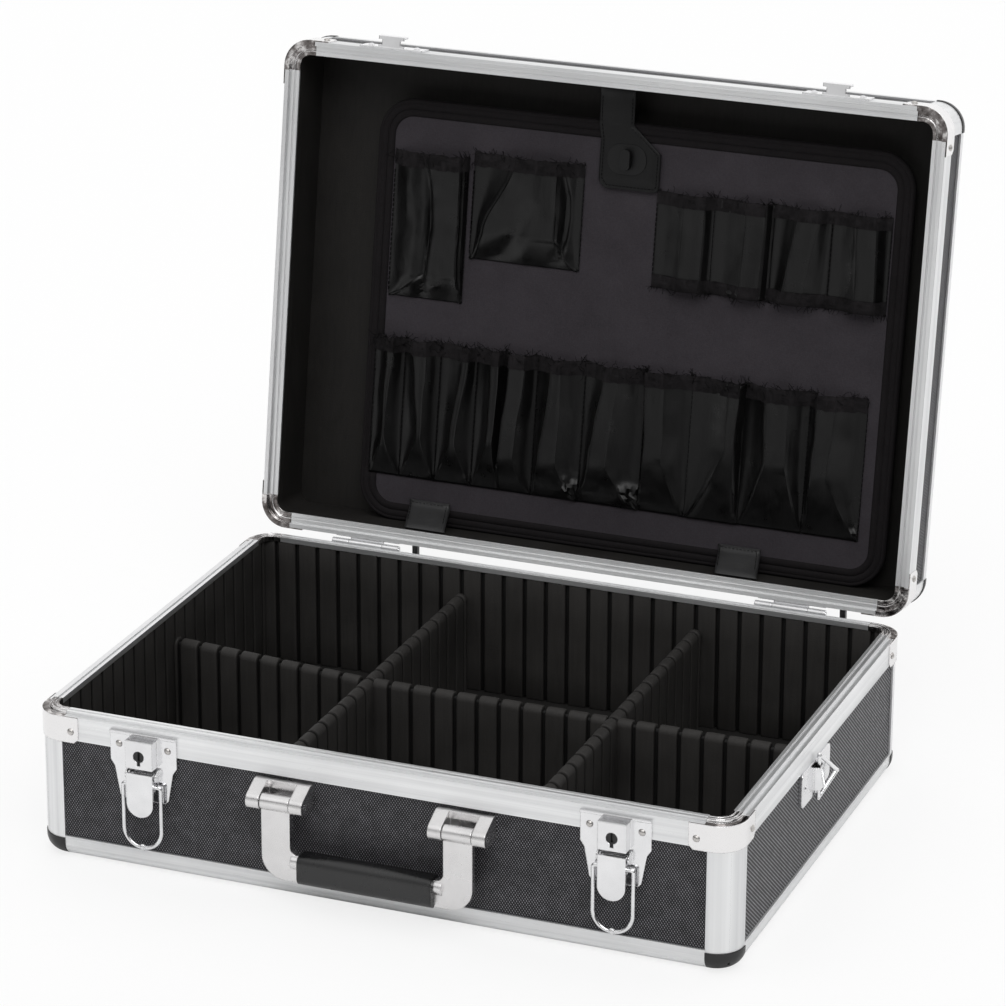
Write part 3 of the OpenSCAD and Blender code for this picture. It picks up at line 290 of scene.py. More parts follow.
def panel(name, plane, lid=False, ka=0.92, kb=0.62, rib_share=0.34):
    """Black laminate embossed with a fine diamond grain, whose raised dots and ribs are painted lighter, as painted
    highlight. plane is the pair of axes it lies in.
    """
    q = Mat(name)
    src = q.turned(lid)
    axes = q.split(src)
    k = 2 * math.pi / GRAIN
    a, b = q.math("MULTIPLY", axes[plane[0]], k * ka), q.math("MULTIPLY", axes[plane[1]], k * kb)
    rib, other = (q.math("MULTIPLY_ADD", q.math("SINE", q.math(op, a, b)), 0.5, 0.5) for op in ("ADD", "SUBTRACT"))
    dots = q.math("MULTIPLY", rib, other)
    band = q.streaks((150, 150, 150), 3, 0.7, src)
    tone = q.math("ADD", q.blend(dots, 0.84 - rib_share, rib, rib_share),
                  q.blend(q.noise(1500, None, 2, 0.6), 0.10, q.math("SUBTRACT", band, 0.5), 0.40))
    # painted highlight: the colour runs from near black in the hollows up to light grey on the raised dots and ribs;
    # the noise and band add random mottling of the laminate's own tone
    col = q.ramp(tone, [(0.08, (0.0016, 0.0016, 0.0020)), (0.34, (0.011, 0.011, 0.0132)),
                        (0.56, (0.070, 0.069, 0.077)), (0.90, (0.30, 0.296, 0.318))])
    return q.set(Base_Color=col, Roughness=q.range(dots, 0, 1, 0.52, 0.36), Specular_IOR_Level=0.3,
                 Normal=q.bump(dots, 0.5, 0.0003)).m


def plastic(name, base=0.008, rough=0.34, edge=0.0007, level=0.5):
    """Moulded plastic with a very fine grain."""
    q = Mat(name)
    col = q.ramp(q.noise(25, None, 3, 0.6), [(0.3, (base, base, base * 1.05)),
                                             (0.75, (base * 1.5, base * 1.5, base * 1.6))])
    return q.set(Base_Color=col, Roughness=q.range(q.noise(40, None, 3, 0.6), 0.3, 0.7, rough - 0.05, rough + 0.08),
                 Specular_IOR_Level=level, Normal=q.bump(q.noise(1200, None, 2, 0.5), 0.08, 0.0003, edge)).m


def foam(name, tone, ribbed=False, level=0.22):
    """Closed-cell foam: matt, faintly pitted and streaked; on ribbed foam the grooves are painted dark, as painted
    shade.
    """
    q = Mat(name)
    big = q.noise(28, None, 4, 0.6)
    col = q.tints(q.blend(big, 0.6, q.streaks((420, 420, 30)), 0.4), tone, 0.72, 1.3)
    if ribbed:
        # painted shade: down in the grooves the colour falls to about a seventh of the foam's tone, driven by the rib
        # relief stored on the mesh
        groove_shade = q.range(q.n("ShaderNodeAttribute", attribute_name="relief").outputs["Fac"], -0.6, 0.86)
        col = q.mix(groove_shade, (tone[0] * 0.14, tone[1] * 0.13, tone[2] * 0.13, 1), col)
    h = q.blend(q.voronoi(900), 0.6, q.noise(260, None, 3, 0.6), 0.4)
    return q.set(Base_Color=col, Roughness=q.range(big, 0.3, 0.7, 0.58, 0.78), Specular_IOR_Level=level,
                 Normal=q.bump(h, 0.22, 0.0005)).m


def pu(name, tone, rough=0.33, level=0.5):
    """Soft coated cloth: fine leather grain over soft creases."""
    q = Mat(name)
    crease = q.noise(70, None, 4, 0.65)
    h = q.math("ADD", q.math("MULTIPLY", q.voronoi(1100, "DISTANCE_TO_EDGE"), 0.25),
               q.blend(crease, 0.5, q.streaks((190, 40, 22)), 0.9))
    return q.set(Base_Color=q.tints(crease, tone, 0.8, 1.5), Specular_IOR_Level=level, Coat_Weight=0.05,
                 Coat_Roughness=0.3, Roughness=q.range(crease, 0.3, 0.7, rough - 0.05, rough + 0.13),
                 Normal=q.bump(h, 0.35, 0.0008)).m


def cloth(name, tone, scale=1400, bump=0.4, lo=0.7, hi=1.3):
    """Matt nonwoven or taped cloth with short fibres."""
    q = Mat(name)
    fibres = q.math("MAXIMUM", *(q.noise(scale, q.mapping(scale=s), 4, 0.7) for s in ((1, 0.35, 0.35), (0.35, 1, 1))))
    t = q.blend(fibres, 0.65, q.noise(35, None, 4, 0.65), 0.35)
    return q.set(Base_Color=q.tints(t, tone, lo, hi, (0.35, 0.75)), Roughness=0.95, Specular_IOR_Level=0.12,
                 Normal=q.bump(fibres, bump, 0.0006)).m


M_PLASTIC = plastic("black_plastic")
M_FOAM = foam("rib_foam", (0.0245, 0.0228, 0.0214), True, 0.34)
M_FOAM_LID = foam("lid_foam", (0.0150, 0.0138, 0.0128))
M_FLOOR_FOAM = foam("floor_foam", (0.0145, 0.0138, 0.0132))
M_PU = pu("pocket_pu", (0.0030, 0.0029, 0.0030), 0.30, 0.29)
M_STRAP = pu("strap_pu", (0.0024, 0.0024, 0.0026), 0.42, 0.24)
M_TAB = pu("tab_pu", (0.0115, 0.0115, 0.0120), 0.5)
M_BORDER = cloth("border_cloth", (0.0118, 0.0104, 0.0112), 900, 0.5)
M_BIND = cloth("binding_tape", (0.0120, 0.0108, 0.0117), 260, 1.0, 0.15, 1.95)
M_THREAD = cloth("thread", (0.0030, 0.0028, 0.0030), 1800, 0.3)

PLATED = ("latch_plate_left latch_plate_right latch_lever_left latch_lever_right latch_bail_left latch_bail_right "
          "ring_plates strap_ring_left strap_ring_right hinge_base_leaves hinge_lid_leaves hinge_pins lid_catches "
          "handle_pins lever_pins")
for names, mat in (
        ("base_bottom_panel", panel("laminate_flat", (0, 1))),
        ("base_front_panel base_rear_panel", panel("laminate_front", (0, 2))),
        ("base_side_panels", panel("laminate_side", (1, 2), False, 0.50, 0.62, 0.62)),
        ("lid_top_panel", panel("laminate_lid_top", (0, 1), True)),
        ("lid_front_panel lid_rear_panel", panel("laminate_lid_front", (0, 2), True)),
        ("lid_side_panels", panel("laminate_lid_side", (1, 2), True, 0.80, 0.30, 0.5)),
        ("base_rim_rails base_bottom_rails", alu("aluminium_base")),
        ("lid_rim_rails lid_edge_rails", alu("aluminium_lid", True)),
        ("base_corner_posts", alu("aluminium_posts", False, True)),
        ("lid_corner_posts", alu("aluminium_lid_posts", True, True)),
        (PLATED, chrome("plated_steel")),
        ("base_corner_brackets", bracket("bracket_base", (0.0, 0.0, 1.0))),
        ("lid_corner_brackets", bracket("bracket_lid", (0.0, -math.sin(LID), -math.cos(LID)))),
        ("handle_brackets handle_arms", chrome("cast_satin_plate", (0.80, 0.79, 0.79), 0.22)),
        ("base_rivets lid_rivets", chrome("rivet_metal", (0.62, 0.60, 0.58), 0.28)),
        ("base_corner_caps lid_corner_caps lid_stops lock_plug_left lock_plug_right", M_PLASTIC),
        ("strap_eyelet turn_lock_base turn_button", plastic("button_plastic", 0.0036, 0.40, 0.0005, 0.30)),
        ("handle_grip", plastic("grip_plastic", 0.0064, 0.27, 0.0034, 0.62)),
        ("tool_board", cloth("board_felt", (0.0430, 0.0384, 0.0440)))):
    for n in names.split():
        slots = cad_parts[n].data.materials
        slots.clear()
        slots.append(mat)

ROUND = set((
    "handle_grip handle_arms handle_pins lever_pins hinge_pins latch_bail_left latch_bail_right strap_ring_left "
    "strap_ring_right base_rivets lid_rivets base_corner_brackets lid_corner_brackets base_corner_caps "
    "lid_corner_caps turn_button turn_lock_base strap_eyelet lid_catches latch_lever_left latch_lever_right "
    "hinge_base_leaves hinge_lid_leaves base_corner_posts lid_corner_posts lock_plug_left lock_plug_right").split())
for n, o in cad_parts.items():
    for p in o.data.polygons:
        p.use_smooth = n in ROUND
    if n in ROUND:
        o.data.set_sharp_from_angle(angle=math.radians(28))


# ------ mesh helpers
def make(name, b, mat, body, replaces=(), sharp=None):
    """One smooth object from a Build, riding on a body."""
    me = bpy.data.meshes.new(name)
    me.from_pydata([tuple(v) for v in b.v], [], b.f)
    # the rib relief, which the foam material turns into painted shade in the grooves
    if b.shade:
        at = me.attributes.new("relief", "FLOAT", "POINT")
        for i in range(len(b.v)):
            at.data[i].value = b.shade.get(i, -DEEP)
    me.validate()
    me.update()
    bm = bmesh.new()
    bm.from_mesh(me)
    bmesh.ops.recalc_face_normals(bm, faces=bm.faces)
    bm.to_mesh(me)
    bm.free()
    ob = bpy.data.objects.new(name, me)
    scene.collection.objects.link(ob)
    me.materials.append(mat)
    for p in me.polygons:
        p.use_smooth = True
    if sharp:
        me.set_sharp_from_angle(angle=math.radians(sharp))
    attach(ob, body)
    if replaces:
        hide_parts(*replaces)
    return ob


def pad(name, b, mat, body, node, sharp):
    """A piece of foam or quilted cloth."""
    make(name, b, mat, body, [node], sharp)


class Build:
    """Collects vertices and faces of one piece."""

    def __init__(self):
        self.v, self.f, self.shade = [], [], {}

    def shaded(self, start, values):
        """Remembers the rib relief of each vertex, for the material's painted groove shade."""
        for i, q in enumerate(values):
            self.shade[start + i] = q

    def grid(self, rows, closed_u=False, closed_v=False):
        """rows: list of equal-length point lists."""
        o = len(self.v)
        nv, nu = len(rows), len(rows[0])
        for r in rows:
            self.v.extend(r)
        for j in range(nv if closed_v else nv - 1):
            for i in range(nu if closed_u else nu - 1):
                a, b = o + j * nu, o + (j + 1) % nv * nu
                k = (i + 1) % nu
                self.f.append((a + i, a + k, b + k, b + i))
        return o

    def fan(self, ids, *more):
        """One face over a row of vertices and what closes it."""
        self.f.append((*ids, *more))

    def tube(self, pts, r, n=6):
        """A thin closed tube along points in metres."""
        rows = []
        for i, p in enumerate(pts):
            p = Vector(p)
            a, b = Vector(pts[max(i - 1, 0)]), Vector(pts[min(i + 1, len(pts) - 1)])
            d = (b - a).normalized()
            s = d.cross(Vector((0.31, 0.52, 0.79))).normalized()
            t = d.cross(s)
            turns = [2 * math.pi * k / n for k in range(n)]
            rows.append([tuple(p + (s * math.cos(w) + t * math.sin(w)) * r) for w in turns])
        self.close(self.grid(rows, closed_u=True), len(rows), n)

    def close(self, o, rows, n):
        """Caps both ends of a tube of n vertices a row."""
        last = o + (rows - 1) * n
        self.fan(reversed(range(o, o + n)))
        self.fan(range(last, last + n))


def smooth01(t):
    t = max(0.0, min(1.0, t))
    return t * t * (3 - 2 * t)


CUT = 1.15  # half the width of a groove at its bottom
DEEP = 0.95  # how far a groove goes below the foot of the ribs, in rib heights
SOFT = 0.7  # width of a rib's round shoulder


def rib_profile(s):
    """Height of the ribbed face at s mm along it, from the bottom of a groove to 1 on a rib, with round shoulders."""
    r = s / PITCH % 1.0 * PITCH
    d = min(r, PITCH - r) - CUT
    if d <= 0:
        return -DEEP
    if d >= SOFT:
        # each rib is a little crowned
        return 1.0 - 0.10 * (1 - min(1.0, (d - SOFT) / 3.0)) ** 2
    q = d / SOFT
    return -DEEP + (DEEP + 0.9) * math.sqrt(max(0.0, 1 - (1 - q) ** 2))


def rib_samples(s0, s1):
    """Places along a ribbed face: close together at the shoulders."""
    out = {s0, s1}
    k = math.floor(s0 / PITCH) - 1
    while k * PITCH < s1 + PITCH:
        g = k * PITCH
        near = [g + e * (CUT + q) for e in (-1, 1) for q in (0.0, 0.02, 0.1, 0.25, 0.45, 0.7, 1.5, 3.4)]
        out.update(s for s in near + [g + PITCH / 2] if s0 < s < s1)
        k += 1
    return sorted(out)


# ------ ribbed foam on the base walls
def wall_lining():
    b = Build()
    z0, z1 = FLOOR_Z, BH - 1.65
    zs = [z0, z0 + 0.8, 30, 50, 70, z1 - 1.0, z1]

    def strip(s0, s1, place):
        ss = rib_samples(s0, s1)
        rows = []
        for z in zs:
            ease = 0.5 if z in (z0, z1) else 0.0
            rows.append([place(s, FOAM + RIB * rib_profile(s) - ease + 0.12 * swell(s * 0.05, z * 0.05, 3.1), z)
                         for s in ss])
        o = b.grid(rows)
        b.shaded(o, [rib_profile(s) for _ in zs for s in ss])
        # back face and edges close the slab
        o2 = b.grid([[place(s, 0.0, z) for s in (s0, s1)] for z in (z0, z1)])
        n = len(ss)
        t = o + (len(zs) - 1) * n
        b.fan(range(o, o + n), o2 + 1, o2)
        b.fan(range(t, t + n), o2 + 3, o2 + 2)

    e = HW - WALL
    f = HD - WALL - FOAM - RIB * 0.6
    strip(-e, e, lambda s, d, z: P(s, -HD + WALL + d, z))
    strip(-e, e, lambda s, d, z: P(s, HD - WALL - d, z))
    strip(-f, f, lambda s, d, z: P(-HW + WALL + d, s, z))
    strip(-f, f, lambda s, d, z: P(HW - WALL - d, s, z))
    pad("wall_lining", b, M_FOAM, "base", "base_wall_linings", 50)


wall_lining()


# ------ soft plates (floor foam, lid lining)
def soft_plate(name, t, place, mat, body, node):
    """A foam sheet that fills the case; place(x, y, h) gives the point, h from 0 at the back to t."""
    b = Build()
    w, d, r, cell = W - 2 * WALL, D - 2 * WALL, 12, 9.0
    nx, ny = int(w / cell), int(d / cell)
    rows = []
    for j in range(ny + 1):
        row = []
        for i in range(nx + 1):
            x, y = -w / 2 + w * i / nx, -d / 2 + d * j / ny
            ex, ey = w / 2 - abs(x), d / 2 - abs(y)
            # pull the corner in to the round outline
            if ex < r and ey < r:
                cx, cy = math.copysign(w / 2 - r, x), math.copysign(d / 2 - r, y)
                dx, dy = x - cx, y - cy
                far, run = max(abs(dx), abs(dy)), math.hypot(dx, dy)
                if run > 1e-6:
                    x, y = cx + dx * far / run, cy + dy * far / run
            h = t - (0.6 if min(ex, ey) < 0.5 else 0.0) + 0.25 * swell(x * 0.03, y * 0.03, t)
            row.append(place(x, y, min(h, t + 0.3)))
        rows.append(row)
    o = b.grid(rows)
    lo = b.grid([[place(sx * (w / 2 - r), sy * (d / 2 - r), 0) for sx in (-1, 1)] for sy in (-1, 1)])
    n = nx + 1
    top = o + ny * n
    b.fan(range(o, o + n), lo + 1, lo)
    b.fan(range(top, top + n), lo + 3, lo + 2)
    b.fan(range(o, top + 1, n), lo + 2, lo)
    b.fan(range(o + nx, top + n, n), lo + 3, lo + 1)
    pad(name, b, mat, body, node, 40)


soft_plate("floor_pad", 3.0, lambda x, y, h: P(x, y, WALL + h), M_FLOOR_FOAM, "base", "base_floor_lining")
soft_plate("lid_back_pad", 2.0, lambda x, y, h: L(x, HD + y, LH - WALL - h), M_FOAM_LID, "lid", "lid_back_lining")


def lid_wall_pad():
    """Flat foam round the inside of the lid's walls, with soft inner corners."""
    b = Build()
    w, d, r, t = W - 2 * WALL, D - 2 * WALL, 12.0, 4.0
    d0, d1 = 4.25, LH - WALL - 2.0

    def ring(inset, rr):
        pts = []
        hw, hd = w / 2 - inset - rr, d / 2 - inset - rr
        for cx, cy, a0 in ((hw, hd, 0), (-hw, hd, 90), (-hw, -hd, 180), (hw, -hd, 270)):
            for k in range(9):
                a = math.radians(a0 + k * 90 / 8)
                pts.append((cx + rr * math.cos(a), cy + rr * math.sin(a)))
        out = []
        for i, p in enumerate(pts):
            q = pts[(i + 1) % len(pts)]
            n = max(1, int(math.dist(p, q) / 14))
            out += [(p[0] + (q[0] - p[0]) * k / n, p[1] + (q[1] - p[1]) * k / n) for k in range(n)]
        return out

    inner, outer = ring(t, 7.0), ring(0.0, r)
    rows = []
    for dep, off in ((d0, 0.6), (d0 + 0.8, 0.05), (14, 0), (24, 0), (34, 0), (d1, 0)):
        row = []
        for x, y in inner:
            x, y = (x + 0.15 * swell(x * .04, y * .04, dep * .06), y + 0.15 * swell(y * .04, x * .04, dep * .06))
            row.append(L(x * (1 + off / 220), HD + y * (1 + off / 160), dep))
        rows.append(row)
    o = b.grid(rows, closed_u=True)
    o2 = b.grid([[L(x, HD + y, dep) for x, y in outer] for dep in (d0, d1)], closed_u=True)
    na, nc = len(inner), len(outer)

    def bridge(a0, c0):
        """Joins an inner and an outer ring of different counts, nearest to nearest."""
        pa = [Vector(b.v[a0 + i]) for i in range(na)]
        pc = [Vector(b.v[c0 + i]) for i in range(nc)]
        j0 = min(range(nc), key=lambda k: (pc[k] - pa[0]).length)
        i = j = 0
        while i < na or j < nc:
            ia, ic = i % na, (j0 + j) % nc
            ja, jc = (i + 1) % na, (j0 + j + 1) % nc
            da = (pa[ja] - pc[ic]).length if i < na else 1e9
            dc = (pa[ia] - pc[jc]).length if j < nc else 1e9
            if da <= dc:
                b.f.append((a0 + ia, a0 + ja, c0 + ic))
                i += 1
            else:
                b.f.append((a0 + ia, c0 + jc, c0 + ic))
                j += 1

    bridge(o, o2)
    bridge(o + 5 * na, o2 + nc)
    pad("lid_wall_pad", b, M_FOAM_LID, "lid", "lid_wall_linings", 45)


lid_wall_pad()


# ------ foam dividers
def divider(name, node, body, place, x0, x1):
    """place(u, s, z): u along, s across, z up from the floor foam. The ribs wrap over the round top."""
    b = Build()
    us = rib_samples(x0, x1)
    rows = []
    for u in us:
        ht = DIVIDER_T / 2 - RIB + RIB * rib_profile(u)
        if min(u - x0, x1 - u) < 0.4:
            ht -= 0.5
        sway = 0.35 * swell(u * 0.02, x0 * 0.1, 1.7)
        c = DIVIDER_H - DIVIDER_T / 2
        row = [place(u, -ht, 0.0), place(u, -ht, 20.0), place(u, -ht + sway * 0.3, 42.0)]
        for k in range(9):
            a = math.pi * (1 - k / 8)
            row.append(place(u, ht * math.cos(a) + sway, c + ht * math.sin(a)))
        rows.append(row + [place(u, ht + sway * 0.3, 42.0), place(u, ht, 20.0), place(u, ht, 0.0)])
    o = b.grid(rows, closed_u=True)
    n = len(rows[0])
    b.shaded(o, [rib_profile(u) for u in us for _ in range(n)])
    b.close(o, len(rows), n)
    pad(name, b, M_FOAM, body, node, 50)


HALF_T = DIVIDER_T / 2
PRESS = 0.9  # a short divider's soft end closes its play and presses into the long one
PRESS_SLANT = 0.7
WALL_RIBS = 9.5  # wall, foam and ribs
SPAN = HW + LONG_LEFT - HALF_T - WALL_RIBS  # from the left wall's ribs to the left long divider
SLANT = math.atan(PITCH / SPAN)
SLACK = DIVIDER_PLAY + HALF_T * math.sin(SLANT)
reach = HD - WALL_RIBS - DIVIDER_PLAY
for side, x in (("left", LONG_LEFT), ("right", LONG_RIGHT)):
    divider("divider_" + side + "_long", "long_divider_" + side, "divider_long_" + side,
            lambda u, s, z: P(x - s, u, FLOOR_Z + z), -reach, reach)
divider("divider_middle_short", "short_divider_middle", "divider_short_middle", lambda u, s, z: P(u, s, FLOOR_Z + z),
        LONG_LEFT + HALF_T + DIVIDER_PLAY - PRESS, LONG_RIGHT - HALF_T - DIVIDER_PLAY + PRESS)
divider("divider_right_short", "short_divider_right", "divider_short_right", lambda u, s, z: P(u, s, FLOOR_Z + z),
        LONG_RIGHT + HALF_T + DIVIDER_PLAY - PRESS, HW - WALL_RIBS - DIVIDER_PLAY)
divider("divider_left_short", "short_divider_left", "divider_short_left",
        lambda u, s, z: P(LONG_LEFT - HALF_T + u * math.cos(SLANT) + s * math.sin(SLANT),
                          -u * math.sin(SLANT) + s * math.cos(SLANT), FLOOR_Z + z),
        -SPAN / math.cos(SLANT) + SLACK, -SLACK + PRESS_SLANT)


# ------ board border
def round_rect_path(w, d, r, step):
    """Points and outward normals round a rectangle with round corners, centred on 0."""
    pts = []
    hw, hd = w / 2 - r, d / 2 - r
    corners = ((hw, hd, 0), (-hw, hd, 90), (-hw, -hd, 180), (hw, -hd, 270))
    for k, (cx, cy, a0) in enumerate(corners):
        n = max(6, int(r * math.pi / 2 / step))
        for i in range(n + 1):
            a = math.radians(a0 + 90 * i / n)
            pts.append((cx + r * math.cos(a), cy + r * math.sin(a), math.cos(a), math.sin(a)))
        nx, ny, _ = corners[(k + 1) % 4]
        a = math.radians(a0 + 90)
        p0 = (cx + r * math.cos(a), cy + r * math.sin(a))
        p1 = (nx + r * math.cos(a), ny + r * math.sin(a))
        parts = int(math.dist(p0, p1) / step)
        for i in range(1, parts):
            x, y = (p0[j] + (p1[j] - p0[j]) * i / parts for j in (0, 1))
            pts.append((x, y, math.cos(a), math.sin(a)))
    return pts


MID_V = WIL + BHT / 2
ROW_X0, ROW_V0, ROW_H = BX - BW / 2 + 5.28, WIL + 0.108 * BHT, 94.0
BORDER_W = 12  # the border on the board's face
ROW_LEN = BW - 1.96 * BORDER_W
# the border's section: inset from the outer edge, height over the board's face
BORDER = [(12.0, 0.05), (11.6, 0.75), (10.6, 1.3), (9.2, 1.45), (7.9, 1.15), (7.2, 0.45), (6.6, 1.15), (5.2, 1.5),
          (3.6, 1.35), (2.9, 0.9), (2.2, 1.35), (1.0, 1.1), (0.25, -0.2), (0.0, -2.0), (0.3, -4.4), (1.6, -5.4),
          (7.0, -5.45), (12.0, -5.3), (12.0, -4.1)]


def border():
    """Cloth folded over the board's edge and stitched through in two lines."""
    b = Build()
    rows, run, last = [], 0.0, None
    for x, y, nx, ny in round_rect_path(BW, BHT, 25, 2.2):
        if last:
            run += math.dist(last, (x, y))
        last = (x, y)
        row = []
        quilt = 0.28 * math.sin(run * 2 * math.pi / 5.2) + 0.25 * swell(run * 0.09, 2.2, 0.4)
        for ins, h in BORDER:
            px, pv = BX + x - nx * ins, MID_V + y - ny * ins
            if 0.5 < h:
                h += quilt * (0.6 if 2.5 < ins < 11 else 0.2)
            # it stays low under the row of pockets
            if ROW_X0 - 1 < px < ROW_X0 + ROW_LEN + 1 and ROW_V0 - 1 < pv < ROW_V0 + ROW_H + 1:
                h = min(h, 0.3)
            row.append(L(px, pv, BIN - max(-5.5, min(1.5, h))))
        rows.append(row)
    b.grid(rows, closed_v=True)
    pad("board_binding", b, M_BORDER, "lid", "board_border", 60)


border()


# ------ stitches and loose threads
def board_pt(x, v, h):
    """A point h over the face of the board."""
    return L(x, v, BIN - h)


class Stitches(Build):
    def line(self, pts, pitch=3.3, dash=2.3, r=0.26):
        """Dashes along a list of points in metres."""
        d = [0.0]
        for p, q in zip(pts, pts[1:]):
            d.append(d[-1] + math.dist(p, q) * 1000)

        def at(s):
            for i in range(len(d) - 1):
                if d[i + 1] >= s:
                    t = (s - d[i]) / max(1e-9, d[i + 1] - d[i])
                    return tuple(pts[i][k] + (pts[i + 1][k] - pts[i][k]) * t for k in range(3))
            return pts[-1]

        s = 0.4
        while s + dash < d[-1]:
            self.tube([at(s), at(s + dash / 2), at(s + dash)], r * MM, 5)
            s += pitch

    def hair(self, p, dirn, length, r):
        """A loose end of thread that wanders from p."""
        q = Vector(p)
        d = Vector(dirn).normalized()
        pts = [tuple(q)]
        for _ in range(4):
            d = (d + Vector([RND.uniform(-0.45, 0.45) for _ in range(3)])).normalized()
            q = q + d * length * MM / 4
            pts.append(tuple(q))
        self.tube(pts, r * MM, 4)


ST, HAIR = Stitches(), Stitches()
RND = random.Random(11)
LID_UP = (Vector(L(0, 100, 20)) - Vector(L(0, 0, 20))).normalized()
LID_OUT = (Vector(L(0, 50, 0)) - Vector(L(0, 50, 20))).normalized()
LID_X = Vector((1, 0, 0))


def soft_path(pts, n):
    """Catmull-Rom through the points, n samples a span."""
    out = []
    for i in range(len(pts) - 1):
        p0, p1, p2, p3 = pts[max(0, i - 1)], pts[i], pts[i + 1], pts[min(len(pts) - 1, i + 2)]
        for k in range(n):
            t = k / n
            out.append(tuple(0.5 * ((2 * b) + (-a + c) * t + (2 * a - 5 * b + 4 * c - d) * t * t
                                    + (-a + 3 * b - 3 * c + d) * t ** 3) for a, b, c, d in zip(p0, p1, p2, p3)))
    out.append(tuple(pts[-1]))
    return out


def flute(a, b, h, lean=0.0, sag=0.35, n=3):
    """Cross-section of a pocket or loop over 0..1: seam, wall, pressed crest between a and b, wall, seam."""
    e = min(0.035, (b - a) * 0.25)
    rest = 1 - b
    wall_a = [(0.0, 0.5), (a * 0.10, 0.9), (a * 0.45, h * sag), (a * 0.80, h * 0.66),
              (max(a - 0.02, a * 0.9), h * 0.93)]
    crest = [(a + e * 0.3, h * 1.02), (a + e, h * 0.99 + lean * 0.1), ((a + b) / 2, h * 0.99 + lean * 0.4),
             (b - e, h * 0.965 + lean), (b - e * 0.3, h * 1.0 + lean)]
    wall_b = [(b + min(0.02, rest * 0.12), h * 0.90 + lean), (b + rest * 0.28, h * 0.60),
              (b + rest * 0.60, h * sag * 0.8), (b + rest * 0.90, 0.9), (1.0, 0.5)]
    return soft_path(wall_a, n) + soft_path(crest, max(2, n - 1)) + soft_path(wall_b, n)


def sheet_area(b):
    t = 0.0
    for f in b.f:
        p = [Vector(b.v[i]) for i in f]
        for k in range(1, len(p) - 1):
            t += (p[k] - p[0]).cross(p[k + 1] - p[0]).length / 2
    return t


def sheet_piece(name, b, mat, nodes, inside, thick=0.0, sharp=60):
    """An open sheet whose faces look away from a point inside, with a thickness in mm."""
    ob = make(name, b, mat, "lid", nodes, sharp)
    bm = bmesh.new()
    bm.from_mesh(ob.data)
    tot = 0.0
    for f in bm.faces:
        tot += f.normal.dot(f.calc_center_median() - Vector(inside)) * f.calc_area()
    if tot < 0:
        bmesh.ops.reverse_faces(bm, faces=bm.faces)
    bm.to_mesh(ob.data)
    bm.free()
    if thick:
        s = ob.modifiers.new("thickness", "SOLIDIFY")
        s.thickness = thick * MM
        s.offset = -1.0
        s.use_even_offset = False
    return ob


def declare(flat, area):
    w, l = flat
    area = max(0.31 * w * l, min(area, w * l))


# ------ pockets
def section(s, t):
    """Cross-section of pocket s at share t of its height."""
    apex, ease = s["apex"], s["ease"]
    (a, b), (a1, b1) = s["mid"], s["top"]
    if t < apex:
        q = t / apex
        a = 0.015 + (a - 0.015) * q ** ease
        b = 0.985 + (b - 0.985) * q ** ease
        h = 0.9 + (s["out"] * 0.9 - 0.9) * (1 - (1 - q) ** 1.5)
    else:
        q = (t - apex) / (1 - apex)
        bend = q * q * (3 - 2 * q)
        a, b = a + (a1 - a) * bend, b + (b1 - b) * bend
        h = s["out"] * (0.9 + 0.1 * q)
    return flute(a, b, h, s["lean"] * q, s["sag"], s.get("fine", 3))


def pocket_point(s, i, u, v, hh):
    """A point of pocket i: its section's height, with swells, puckers and folds."""
    x = s["x0"] + u * s["w"]
    amp = min(1.0, hh / 3.0)
    dh = (swell(x * 0.055, v * 0.028, 0.3 + i) * 0.9 + swell(x * 0.16, v * 0.09, 5.1) * 0.4) * amp * s["wob"]
    dx = swell(v * 0.045, i * 3.7, 9.2) * 0.9 * amp
    for at_u, at_v, reach, size in s.get("pucker", ()):
        far = math.hypot(x - (s["x0"] + at_u * s["w"]), v - (s["v0"] + at_v))
        if far < reach:
            k = (1 - far / reach) ** 1.3
            dh += size * k * (0.5 + abs(swell(x * 0.36, v * 0.36, 1.3)) * 2.0) * 0.8
            dx += size * k * swell(x * 0.3, v * 0.4, 7.7)
    for u0, t0, u1, t1, width, size in s.get("folds", ()):
        # a soft ridge or valley along a slanting line
        ax, ay = s["x0"] + u0 * s["w"], s["v0"] + t0 * s["h"]
        lx, ly = s["x0"] + u1 * s["w"] - ax, s["v0"] + t1 * s["h"] - ay
        len2 = lx ** 2 + ly ** 2
        t = max(0.0, min(1.0, ((x - ax) * lx + (v - ay) * ly) / len2))
        off = ((x - ax) * ly - (v - ay) * lx) / math.sqrt(len2) - 5 * math.sin(math.pi * t)
        dh += size * math.exp(-(off / width) ** 2) * amp * math.sin(math.pi * min(1, max(0.0, 0.1 + 0.9 * t))) ** 0.5
    return (x + dx * (1 if 0.02 < u < 0.98 else 0), v, max(0.5, min(s["out"] + 1.2, hh + dh)))


